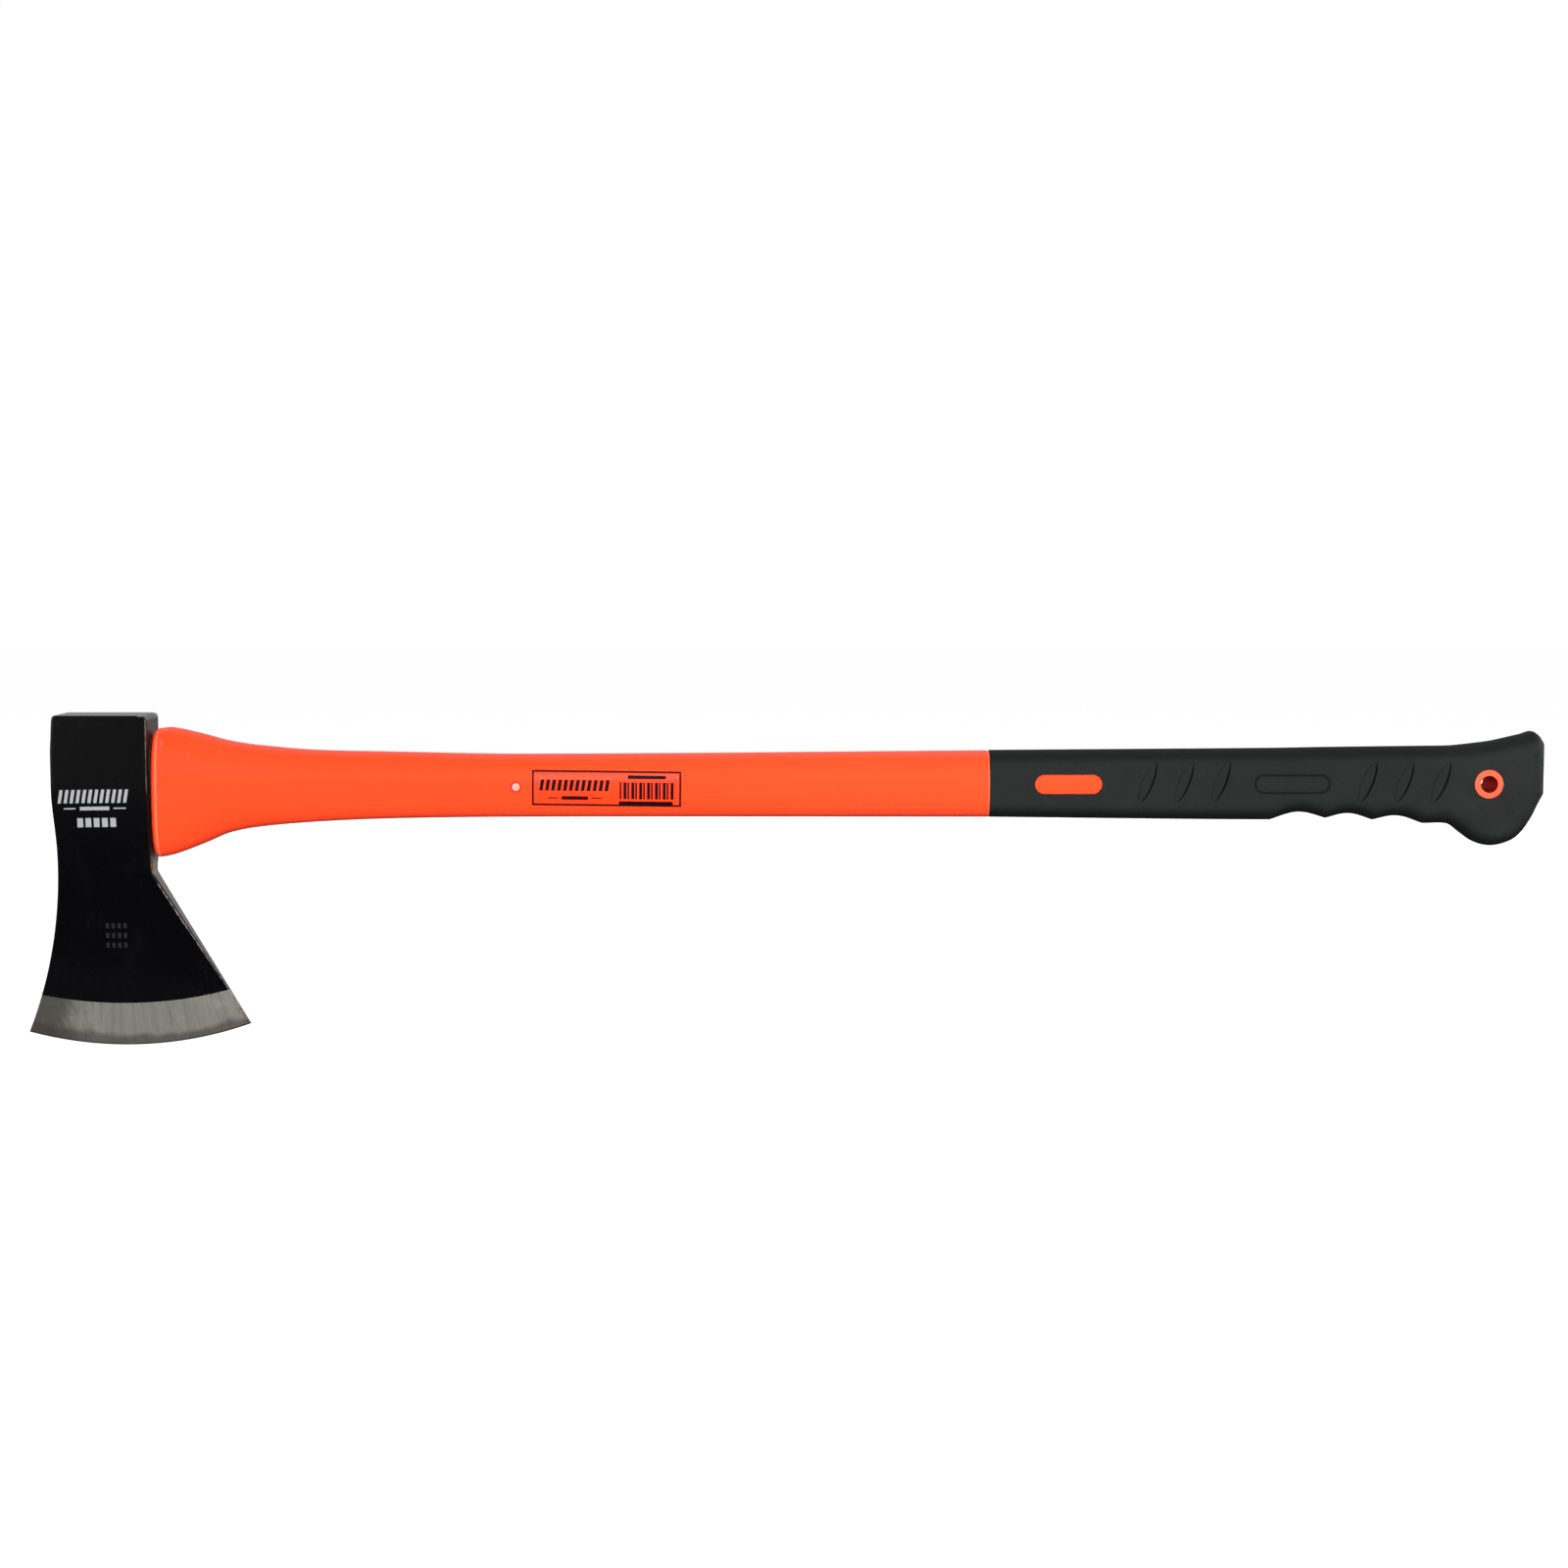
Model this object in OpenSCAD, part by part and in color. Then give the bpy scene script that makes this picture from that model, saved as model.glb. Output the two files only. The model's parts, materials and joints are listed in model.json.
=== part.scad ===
// Felling axe: a forged steel head bonded to a fibreglass-cored handle, with a
// moulded jacket over the core and a rubber grip over the jacket's rear.
// Millimetres. The origin is the middle of the poll face, the flat top of the head.
// +Z points out of the poll, with the cutting edge below, and +X runs along the
// handle towards the butt. The axe is symmetric about the plane Y = 0. Heights and
// depths are counted from the handle axis, which runs through the head's eye.

/* [Head] */
// Width of the head along the handle, at the eye
head_w = 50.6; // [48:0.1:52]
// Thickness of the head at the eye
head_t = 31.4; // [30:0.1:34]
// Height of the poll face above the handle axis
poll_h = 37; // [35:0.5:40]
// Depth of the cutting edge below the handle axis
edge_drop = 138.5; // [134:0.1:142]
// Radius of the curved cutting edge, seen from the side
edge_r = 196; // [185:1:210]
// Place of the deepest point of the edge along the handle
edge_x = 9.1; // [7:0.1:11]
// Place of the toe, the outer corner of the edge
toe_x = -42.5; // [-46:0.5:-38]
// Place of the heel, the corner of the edge under the handle
heel_x = 75; // [70:0.2:78]
// Thickness of the blade where the ground bevel starts
bevel_t = 9; // [7:0.5:11]
// Height of the ground bevel at the middle of the edge
bevel_h = 23.6; // [20:0.2:27]
// Flat left along the very edge
edge_land = 0.3; // [0.2:0.1:0.6]
// Depth below the axis at which the cheeks start to thin
cheek_drop = 8; // [4:1:14]
// Radius of the slight crown across each cheek
cheek_crown_r = 1400; // [1000:50:2000]
// How far the toe side of the head narrows at the waist
waist_in = 2; // [0.5:0.1:3]
// Depth of the waist below the handle axis
waist_drop = 38; // [34:1:44]
// Depth of the throat, where the underside of the beard starts
throat_drop = 45.8; // [43:0.2:48]
// Radius in the throat
throat_r = 3.5; // [2:0.5:6]
// Radius of the poll's corners
poll_r = 2.5; // [1:0.5:5]
// How far the toe side of the head leans in at the poll
poll_lean = 0.9; // [0:0.1:2]

/* [Eye] */
// Height of the ovoid eye through the head
eye_h = 57; // [54:0.5:60]
// Width of the eye at its wider, poll end
eye_t = 22; // [20:0.5:24]
// Radius of the eye's narrower end, towards the blade
eye_nose_r = 7; // [6:0.5:9]
// Depth of the middle of the eye below the handle axis
eye_drop = 4; // [2:0.5:5]
// Thickness of the resin between the eye's wall and the handle
resin_t = 1.4; // [1:0.1:2]
// Depth of the resin's surface and the handle's end inside the head's outer face
resin_inset = 1.2; // [0.5:0.1:3]
// Length of the seal that keeps the resin in the eye
seal_l = 4; // [3:0.5:6]
// Gap between the head and the collar, filled by the seal's flange
collar_gap = 1.2; // [0.8:0.1:2]
// How far the seal's flange reaches past the eye all round
flange_lip = 1.2; // [0.5:0.1:2]

/* [Jacket] */
// Height of the collar above the handle axis
collar_up = 30; // [28:0.5:32]
// Depth of the collar below the handle axis
collar_down = 38.4; // [36:0.2:40]
// Thickness of the collar
collar_t = 28; // [26:0.5:30]
// Height of the shaft above the handle axis at its waist
shaft_up = 16; // [15.5:0.1:17.5]
// Depth of the shaft below the handle axis
shaft_down = 17.2; // [16:0.1:18]
// Thickness of the shaft
shaft_t = 24; // [23:0.5:26]
// Radius round the front rim of the collar
rim_r = 3; // [1:0.5:4]
// Squareness of the jacket's section: 2 is an ellipse
jacket_n = 2.6; // [2:0.1:4]

/* [Core] */
// Height of the fibreglass core's section
core_h = 20; // [16:0.5:22]
// Thickness of the core's section
core_t = 12; // [10:0.5:13]
// Distance from the butt to the core's rear end
core_inset = 52; // [46:1:80]
// Place of the round marks that the mould's pins left on both sides
pin_x = 216.9; // [200:0.5:235]
// Diameter of the pin marks
pin_d = 5.8; // [4:0.2:7]
// Depth of the pin marks
pin_depth = 1.3; // [0.5:0.1:4]

/* [Grip] */
// Place of the grip's front end
grip_x = 464.7; // [455:0.5:475]
// Place of the butt, the rear end of the axe
butt_x = 755.8; // [750:0.2:765]
// Thickness of the grip
grip_t = 27; // [26:0.5:29]
// Thickness of the butt
butt_t = 29; // [28:0.5:31]
// Squareness of the grip's section: 2 is an ellipse
grip_n = 3.4; // [2:0.1:4]
// Depth of the hook under the butt
hook_drop = 32.3; // [30:0.1:34]
// Height of the horn over the butt
horn_rise = 28; // [26:0.5:30]
// Height of the jacket's section under the rubber
bar_h = 28; // [26:0.5:29]
// Thickness of the jacket's section under the rubber
bar_t = 20; // [19:0.5:21]
// How far that section runs on past the middle of the hang hole
bar_past_hole = 12; // [9:0.5:14]
// Place of the window in the rubber
window_x = 505.5; // [495:0.5:515]
// Length of the window
window_l = 35.2; // [25:0.2:45]
// Height of the window
window_h = 10.1; // [8:0.1:12]
// Height of the window's middle above the handle axis
window_rise = 0.8; // [-1:0.1:1.5]

/* [Finger grooves] */
// Places of the crests before, between and after the finger grooves
crest_x = [612, 641.6, 666.3, 692.6]; // [600:0.1:700]
// Depth of each groove below its crests
groove_depth = [3.6, 2.7, 3]; // [2:0.1:4]

/* [Hang hole] */
// Distance from the butt to the middle of the hang hole
hole_inset = 31.3; // [28:0.1:34]
// Height of the hang hole above the handle axis
hole_z = 1; // [0:0.5:2]
// Diameter of the hang hole
hole_d = 8.8; // [6:0.2:9]
// Diameter of the boss round the hang hole
boss_d = 15.1; // [14:0.1:17]
// How far the boss stands proud of the butt on each side
boss_proud = 0.3; // [0:0.05:0.5]

/* [Label] */
// Length of the label
label_l = 78.5; // [60:0.5:90]
// Height of the label
label_h = 19.2; // [14:0.2:20]
// Place of the label's middle along the handle
label_x = 264.4; // [260:0.5:290]
// Depth of the label's middle below the handle axis
label_drop = 1.4; // [0:0.1:2]
// Thickness of the label film
film_t = 0.15; // [0.1:0.05:0.3]
// Thickness of the glue between label and jacket
film_gap = 0.05; // [0.02:0.01:0.1]

/* [Hidden] */

$fn = 64;
ring_points = 32;
arc_steps = 8;

head_x0 = -head_w / 2;
head_x1 = head_w / 2;
edge_centre_z = edge_r - edge_drop;
bevel_slope = (bevel_t - edge_land) / 2 / bevel_h;
cheek_angle = atan((head_t - bevel_t) / 2 / (edge_drop - bevel_h - cheek_drop));
eye_top_z = -eye_drop + eye_h / 2 - eye_t / 2;
eye_low_z = -eye_drop - eye_h / 2 + eye_nose_r;
tongue_x0 = head_x0 + resin_inset;
collar_x = head_x1 + collar_gap;
core_end_x = butt_x - core_inset;
hole_x = butt_x - hole_inset;

// Points on a circle round centre c from angle a0 to angle a1.
function arc(c, r, a0, a1, steps = arc_steps) =
    [for (i = [0:steps]) let (a = a0 + (a1 - a0) * i / steps) c + r * [cos(a), sin(a)]];

// A half cosine wave that goes from 0 to 1 as u does.
function ease(u) = (1 - cos(180 * u)) / 2;

// A station table is a list of [x, value, value, ...] rows. span finds the pair of
// rows round x, slope the curve's direction at a row, and at the smooth value.
function span(table, x, i = 0) =
    i >= len(table) - 2 || x <= table[i + 1][0] ? i : span(table, x, i + 1);
function slope(table, i, k) =
    let (a = max(i - 1, 0), b = min(i + 1, len(table) - 1))
    (table[b][k] - table[a][k]) / (table[b][0] - table[a][0]);
function at(table, x, k) =
    let (
        i = span(table, x),
        w = table[i + 1][0] - table[i][0],
        u = (x - table[i][0]) / w
    )
    table[i][k] * (1 - u) * (1 - u) * (1 + 2 * u)
    + table[i + 1][k] * u * u * (3 - 2 * u)
    + slope(table, i, k) * w * u * (1 - u) * (1 - u)
    - slope(table, i + 1, k) * w * u * u * (1 - u);

// One closed section of a loft: a superellipse of squareness n in the plane X = x.
function section(x, up, down, half_t, n) =
    [for (i = [0:ring_points - 1])
        let (
            a = 360 * i / ring_points,
            y = half_t * sign(cos(a)) * pow(abs(cos(a)), 2 / n),
            z = (up + down) / 2 * sign(sin(a)) * pow(abs(sin(a)), 2 / n)
        )
        [x, y, (up - down) / 2 + z]];

// A closed solid through a list of sections that have the same number of points.
module loft(sections) {
    n = len(sections[0]);
    last = len(sections) - 1;
    polyhedron(
        points = [for (s = sections) each s],
        faces = concat(
            [[for (i = [0:n - 1]) i]],
            [for (s = [0:last - 1], i = [0:n - 1])
                let (a = s * n + i, b = s * n + (i + 1) % n)
                each [[a, a + n, b], [b, a + n, b + n]]],
            [[for (i = [n - 1:-1:0]) last * n + i]]
        )
    );
}

// Moves what was drawn about the handle axis to its place under the poll face.
module on_axis() {
    translate([0, 0, -poll_h]) children();
}

// A 2D shape drawn in Y and Z, swept along X from x0 to x1.
module along_x(x0, x1) {
    translate([x0, 0, 0])
    rotate([90, 0, 90])
    linear_extrude(x1 - x0) children();
}

// A 2D shape drawn in X and Z, swept through Y by t, half to each side.
module across_y(t) {
    rotate([90, 0, 0])
    linear_extrude(t, center = true) children();
}

// A slot outline of overall length l and height h, with round ends.
module stadium(l, h) {
    square([l - h, h], center = true);
    for (side = [-1, 1]) {
        translate([side * (l - h) / 2, 0]) circle(d = h);
    }
}

// The egg-shaped outline of the eye, shrunk all round by inset.
module ovoid(inset = 0) {
    top_r = eye_t / 2 - inset;
    low_r = eye_nose_r - inset;
    lean = asin((top_r - low_r) / (eye_top_z - eye_low_z));
    polygon(concat(
        arc([0, eye_top_z], top_r, -lean, 180 + lean, 3 * arc_steps),
        arc([0, eye_low_z], low_r, 180 + lean, 360 - lean, 2 * arc_steps)
    ));
}

// ---- Head ----

toe_angle = asin((toe_x - edge_x) / edge_r);
heel_angle = asin((heel_x - edge_x) / edge_r);
toe_z = edge_centre_z - edge_r * cos(toe_angle);
heel_z = edge_centre_z - edge_r * cos(heel_angle);
beard_angle = atan((heel_x - head_x1) / (-throat_drop - heel_z));
waist_x = head_x0 + waist_in;
// The toe side leaves the waist straight down and reaches the toe on one arc.
flare_r = (pow(waist_drop + toe_z, 2) + pow(waist_x - toe_x, 2)) / 2 / (waist_x - toe_x);
flare_angle = asin((-waist_drop - toe_z) / flare_r);

module head_outline() {
    throat = [head_x1 + throat_r, -throat_drop + throat_r * tan(beard_angle / 2)];
    polygon(concat(
        arc([head_x0 + poll_lean + poll_r, poll_h - poll_r], poll_r, 180, 90),
        arc([head_x1 - poll_r, poll_h - poll_r], poll_r, 90, 0),
        arc(throat, throat_r, 180, 180 + beard_angle),
        arc([edge_x, edge_centre_z], edge_r, 270 + heel_angle, 270 + toe_angle, 24),
        [for (i = [1:11])
            let (a = flare_angle * (1 - i / 12))
            [waist_x - flare_r * (1 - cos(a)), -waist_drop - flare_r * sin(a)]],
        [for (i = [0:arc_steps])
            let (u = i / arc_steps)
            [waist_x - waist_in * ease(u), -waist_drop * (1 - u)]],
        [[head_x0, poll_h / 2]]
    ));
}

// Two shallow cones back to back. Their rims meet just past the cutting edge, so
// the ground bevels leave the edge land between them.
module bevel_cones() {
    rim = edge_r + edge_land / 2 / bevel_slope;
    translate([edge_x, 0, edge_centre_z])
    rotate([90, 0, 0])
    rotate_extrude($fn = 180)
    polygon([[0, -rim * bevel_slope], [rim, 0], [0, rim * bevel_slope]]);
}

// A large cylinder whose side is the crowned, tapering cheek facing +Y.
module cheek_cylinder() {
    translate([edge_x, head_t / 2, -cheek_drop])
    rotate([-cheek_angle, 0, 0])
    translate([0, -cheek_crown_r, 0])
    cylinder(h = 4 * edge_drop, r = cheek_crown_r, center = true, $fn = 360);
}

module axe_head() {
    color("#1b1c1e")
    on_axis()
    difference() {
        intersection() {
            across_y(head_t) head_outline();
            bevel_cones();
            cheek_cylinder();
            mirror([0, 1, 0]) cheek_cylinder();
        }
        along_x(head_x0 - 1, head_x1 + 1) ovoid();
    }
}

// ---- Bond ----

module eye_resin() {
    color("#2a2420")
    on_axis()
    along_x(tongue_x0, head_x1 - seal_l)
    difference() {
        ovoid();
        ovoid(resin_t);
    }
}

// A soft ring in the mouth of the eye, with a flange between head and collar.
module eye_seal() {
    color("#202020")
    on_axis()
    difference() {
        union() {
            along_x(head_x1 - seal_l, head_x1) ovoid();
            along_x(head_x1, collar_x) ovoid(-flange_lip);
        }
        along_x(head_x1 - seal_l - 1, collar_x + 1) ovoid(resin_t);
    }
}

// ---- Handle ----

module core_outline() {
    rotate(90) stadium(core_h, core_t);
}

module fibreglass_core() {
    color("#d9cfae")
    on_axis()
    along_x(tongue_x0, core_end_x) core_outline();
}

// Jacket stations: x, height above the axis, depth below it, half thickness.
jacket_line = [
    [collar_x, collar_up - 1, collar_down + 0.4, collar_t / 2],
    [36, collar_up, collar_down - 1.3, collar_t / 2],
    [53, shaft_up + 10.4, shaft_down + 13.6, 0.95 * collar_t / 2],
    [65, shaft_up + 7.2, shaft_down + 8.5, 0.92 * collar_t / 2],
    [80, shaft_up + 4.8, shaft_down + 5.4, shaft_t / 2 + 0.5],
    [110, shaft_up + 2.2, shaft_down + 2.7, shaft_t / 2],
    [150, shaft_up + 1.2, shaft_down + 0.9, shaft_t / 2],
    [223, shaft_up, shaft_down, shaft_t / 2],
    [grip_x, shaft_up + 1.8, shaft_down, shaft_t / 2 + 1],
];

function rim_inset(x) =
    let (u = min((x - collar_x) / rim_r, 1)) rim_r * (1 - sqrt(1 - (1 - u) * (1 - u)));
function jacket_section(x) = section(
    x,
    at(jacket_line, x, 1) - rim_inset(x),
    at(jacket_line, x, 2) - rim_inset(x),
    at(jacket_line, x, 3) - rim_inset(x),
    jacket_n
);
jacket_stations = concat(
    [for (a = [0:22.5:67.5]) collar_x + rim_r * (1 - cos(a))],
    [for (x = [collar_x + rim_r:6:120]) x],
    [for (i = [0:8]) 130 + (grip_x - 130) * i / 8]
);

module window_outline() {
    translate([window_x, window_rise]) stadium(window_l, window_h);
}

module bar_outline() {
    rotate(90) stadium(bar_h, bar_t);
}

bar_end_x = hole_x + bar_past_hole;
// Overlaps that join the jacket's parts inside the collar and inside the grip.
tongue_join = 10;
bar_join = 20;
hole_boss_t = butt_t + 2 * boss_proud;

module handle_jacket() {
    color("#ff5a33")
    on_axis()
    difference() {
        union() {
            along_x(tongue_x0, collar_x + tongue_join) ovoid(resin_t);
            loft([for (x = jacket_stations) jacket_section(x)]);
            along_x(grip_x - bar_join, bar_end_x) bar_outline();
            across_y(grip_t) window_outline();
            translate([hole_x, 0, hole_z])
            rotate([90, 0, 0])
            cylinder(d = boss_d, h = hole_boss_t, center = true);
        }
        along_x(tongue_x0 - 1, core_end_x) core_outline();
        for (side = [-1, 1])
            translate([pin_x, side * shaft_t, 0])
            rotate([90, 0, 0])
            cylinder(d = pin_d, h = shaft_t + 2 * pin_depth, center = true);
        translate([hole_x, 0, hole_z])
        rotate([90, 0, 0])
        cylinder(d = hole_d, h = 2 * butt_t, center = true);
    }
}

// Grip stations: x, height above the axis, depth below it, half thickness.
grip_line = [
    [grip_x, shaft_up + 2, shaft_down + 0.1, grip_t / 2],
    [crest_x[0], 19.1, 18.7, grip_t / 2],
    [crest_x[1], 19.6, 17.8, grip_t / 2],
    [crest_x[2], 19.9, 18.7, grip_t / 2],
    [crest_x[3], 20.2, 20.5, grip_t / 2],
    [butt_x - 50, 20.4, 20.8, butt_t / 2 - 0.4],
    [butt_x - 44, 20.9, 25, butt_t / 2],
    [butt_x - 37, 21.7, hook_drop - 2.4, butt_t / 2],
    [butt_x - 28, 22.9, hook_drop, butt_t / 2],
    [butt_x - 18, 25.1, hook_drop - 2.2, butt_t / 2],
    [butt_x - 12, horn_rise - 1.5, hook_drop - 6.6, butt_t / 2],
    [butt_x - 6.5, horn_rise, hook_drop - 14.5, butt_t / 2 - 0.6],
    [butt_x - 2.6, horn_rise - 2.4, hook_drop - 22.5, butt_t / 2 - 2],
    [butt_x, horn_rise - 6.5, hook_drop - 27.5, butt_t / 2 - 5],
];

function groove(x) = max([for (i = [0:2])
    let (u = (x - crest_x[i]) / (crest_x[i + 1] - crest_x[i]))
    u <= 0 || u >= 1 ? 0 : groove_depth[i] * pow(sin(180 * u), 1.2)]);

function grip_section(x) = section(
    x,
    at(grip_line, x, 1),
    at(grip_line, x, 2) - groove(x),
    at(grip_line, x, 3),
    grip_n
);
grip_stations = concat(
    [for (i = [0:7]) grip_x + (crest_x[0] - 5 - grip_x) * i / 8],
    [for (i = [0:2], j = [0:9]) crest_x[i] + (crest_x[i + 1] - crest_x[i]) * j / 10],
    [for (x = [crest_x[3]:3:butt_x - 13]) x],
    [for (i = [0:6]) butt_x - 12 + 12 * sin(15 * i)]
);

module rubber_grip() {
    color("#313131")
    on_axis()
    difference() {
        loft([for (x = grip_stations) grip_section(x)]);
        along_x(grip_x - 1, bar_end_x) bar_outline();
        across_y(2 * grip_t) window_outline();
        translate([hole_x, 0, hole_z])
        rotate([90, 0, 0])
        cylinder(d = boss_d, h = 2 * butt_t, center = true);
    }
}

// ---- Label ----

// Half thickness of the jacket at a place along the handle and a height.
function jacket_y(x, z) =
    let (
        up = at(jacket_line, x, 1),
        down = at(jacket_line, x, 2),
        v = abs(z - (up - down) / 2) / ((up + down) / 2)
    )
    at(jacket_line, x, 3) * pow(1 - pow(v, jacket_n), 1 / jacket_n);

// One cross-section of the film, curved to lie on the jacket's -Y side.
function film_section(x) =
    let (zs = [for (i = [0:arc_steps]) -label_drop + label_h * (i / arc_steps - 0.5)])
    concat(
        [for (z = zs) [x, -jacket_y(x, z) - film_gap - film_t, z]],
        [for (i = [arc_steps:-1:0]) [x, -jacket_y(x, zs[i]) - film_gap, zs[i]]]
    );

module label_film() {
    color("#f26a45")
    on_axis()
    loft([for (i = [0:arc_steps]) film_section(label_x + label_l * (i / arc_steps - 0.5))]);
}

axe_head();
eye_resin();
eye_seal();
fibreglass_core();
handle_jacket();
rubber_grip();
label_film();
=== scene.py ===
"""The looks of a felling axe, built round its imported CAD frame.

Shapes are worked out in millimetres in the axe's own plane: x runs along the handle
from the middle of the eye, z is the height above the handle axis, and y is across.
in_frame() turns them into metres in the CAD frame. Outlines lie in the x, z plane.
"""

import json
import math

import bmesh
import bpy
import numpy as np
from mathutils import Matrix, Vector
from mathutils.kdtree import KDTree


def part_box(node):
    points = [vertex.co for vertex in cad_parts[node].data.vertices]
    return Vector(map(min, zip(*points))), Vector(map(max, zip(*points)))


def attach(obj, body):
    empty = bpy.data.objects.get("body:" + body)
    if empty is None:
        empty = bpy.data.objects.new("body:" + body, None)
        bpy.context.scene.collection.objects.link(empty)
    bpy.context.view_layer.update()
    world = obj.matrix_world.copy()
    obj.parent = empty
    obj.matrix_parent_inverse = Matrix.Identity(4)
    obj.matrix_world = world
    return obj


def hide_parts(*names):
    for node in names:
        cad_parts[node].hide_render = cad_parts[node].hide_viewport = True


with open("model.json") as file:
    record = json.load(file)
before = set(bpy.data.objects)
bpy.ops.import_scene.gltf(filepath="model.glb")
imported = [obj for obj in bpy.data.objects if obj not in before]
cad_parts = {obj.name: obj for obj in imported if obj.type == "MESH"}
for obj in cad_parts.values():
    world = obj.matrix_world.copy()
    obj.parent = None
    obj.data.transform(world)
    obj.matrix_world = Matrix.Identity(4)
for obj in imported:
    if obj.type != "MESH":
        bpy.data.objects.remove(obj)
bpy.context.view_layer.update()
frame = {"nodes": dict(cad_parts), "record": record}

MM = 0.001
BODY = "root"


def box_mm(node):
    """Lowest and highest corner of a CAD node, in millimetres."""
    low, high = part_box(node)
    return np.array(low) / MM, np.array(high) / MM


HEAD_LOW, HEAD_HIGH = box_mm("axe_head")
CORE_LOW, CORE_HIGH = box_mm("fibreglass_core")
GRIP_LOW, GRIP_HIGH = box_mm("rubber_grip")
RESIN_LOW, RESIN_HIGH = box_mm("eye_resin")
SEAL_LOW, SEAL_HIGH = box_mm("eye_seal")
LABEL_LOW, LABEL_HIGH = box_mm("label_film")
AXIS_Z = (CORE_LOW[2] + CORE_HIGH[2]) / 2
HANG_HOLE = next(m for m in frame["record"]["mounts"] if m["name"] == "hang_hole")

# ------------------------------------------------------------------ outlines


def ease(u):
    """A half cosine wave from 0 to 1."""
    return (1 - np.cos(np.pi * np.clip(u, 0, 1))) / 2


def arc(centre, radius, start, end, steps):
    """Points on a circle from one angle to another, in degrees."""
    a = np.radians(np.linspace(start, end, steps + 1))
    return np.stack([centre[0] + radius * np.cos(a), centre[1] + radius * np.sin(a)], 1)


def line(start, end, steps):
    return np.linspace(start, end, steps + 1)


def stadium(length, height, steps=16):
    """A closed slot outline round the origin, long way along the first axis."""
    r = height / 2
    reach = length / 2 - r
    right = arc((reach, 0), r, -90, 90, steps)
    left = arc((-reach, 0), r, 90, 270, steps)
    return np.concatenate([right, left])


def circle(radius, steps=64):
    return arc((0, 0), radius, 0, 360, steps)[:-1]


def smooth_table(table, x):
    """The value columns of a station table [x, value, value, ...], each in the shape of x."""
    table = np.asarray(table, float)
    knots, values = table[:, 0], table[:, 1:]
    before = np.concatenate([[0], np.arange(len(knots) - 1)])
    after = np.concatenate([np.arange(1, len(knots)), [len(knots) - 1]])
    slopes = (values[after] - values[before]) / (knots[after] - knots[before])[:, None]
    flat = np.ravel(np.asarray(x, float))
    i = np.clip(np.searchsorted(knots, flat, side="right") - 1, 0, len(knots) - 2)
    w = (knots[i + 1] - knots[i])[:, None]
    u = (flat - knots[i])[:, None] / w
    found = (
        values[i] * (1 - u) ** 2 * (1 + 2 * u)
        + values[i + 1] * u**2 * (3 - 2 * u)
        + slopes[i] * w * u * (1 - u) ** 2
        - slopes[i + 1] * w * u**2 * (1 - u)
    )
    return found.T.reshape(-1, *np.shape(x))


def lengths(points):
    """Distance along a polyline at each of its points."""
    steps = np.linalg.norm(np.diff(points, axis=0), axis=1)
    return np.concatenate([[0], np.cumsum(steps)])


def resample(points, fractions):
    """Points at the given fractions of a polyline's length."""
    at = lengths(points)
    where = np.asarray(fractions) * at[-1]
    return np.stack([np.interp(where, at, points[:, k]) for k in range(points.shape[1])], 1)


def crowded(steps, crowding=0.7):
    """Fractions from 0 to 1 that lie closer together towards both ends."""
    u = np.linspace(0, 1, steps + 1)
    return u - crowding * np.sin(2 * np.pi * u) / (2 * np.pi)


def inward(points):
    """Unit normals that point left of the way a closed outline runs."""
    ahead = np.roll(points, -1, axis=0) - points
    behind = points - np.roll(points, 1, axis=0)
    ahead /= np.linalg.norm(ahead, axis=1)[:, None]
    behind /= np.linalg.norm(behind, axis=1)[:, None]
    way = ahead + behind
    way /= np.linalg.norm(way, axis=1)[:, None]
    return np.stack([-way[:, 1], way[:, 0]], 1)


def distance_to(outline, points):
    """Distance in the plane from each point to a finely divided outline."""
    tree = KDTree(len(outline))
    for i, p in enumerate(outline):
        tree.insert((p[0], p[1], 0), i)
    tree.balance()
    flat = np.asarray(points, float).reshape(-1, 2)
    found = [tree.find((p[0], p[1], 0))[2] for p in flat]
    return np.array(found).reshape(np.shape(points)[:-1])


def patch(top, bottom, left, right):
    """A grid of points between four boundary lines that share their corners."""
    u = (lengths(top) / lengths(top)[-1])[None, :, None]
    v = (lengths(right) / lengths(right)[-1])[:, None, None]
    edges = (1 - v) * top[None] + v * bottom[None] + (1 - u) * left[:, None] + u * right[:, None]
    corners = (1 - v) * ((1 - u) * top[0] + u * top[-1])
    corners = corners + v * ((1 - u) * bottom[0] + u * bottom[-1])
    return edges - corners


def slab(x0, x1, z0, z1, slant=0.0):
    """Corners of a four-sided area, with its top pushed sideways by slant."""
    return [(x0, z0), (x1, z0), (x1 + slant, z1), (x0 + slant, z1)]


def lift(points, y):
    """Plane points with a third coordinate y."""
    points = np.asarray(points, float)
    y = np.broadcast_to(y, points.shape[:-1])
    return np.stack([points[..., 0], y, points[..., 1]], -1)


def across(points, x):
    """A cross-section's (y, z) points with a place x along the handle."""
    points = np.asarray(points, float)
    return np.stack([np.full(len(points), float(x)), points[:, 0], points[:, 1]], 1)


def in_frame(points):
    """Millimetres about the handle axis to metres in the CAD frame."""
    return (np.asarray(points, float) + [0, 0, AXIS_Z]) * MM


# ------------------------------------------------------------------ meshes


def put(name, data):
    """A new object in the scene."""
    made = bpy.data.objects.new(name, data)
    bpy.context.scene.collection.objects.link(made)
    return made


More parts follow.
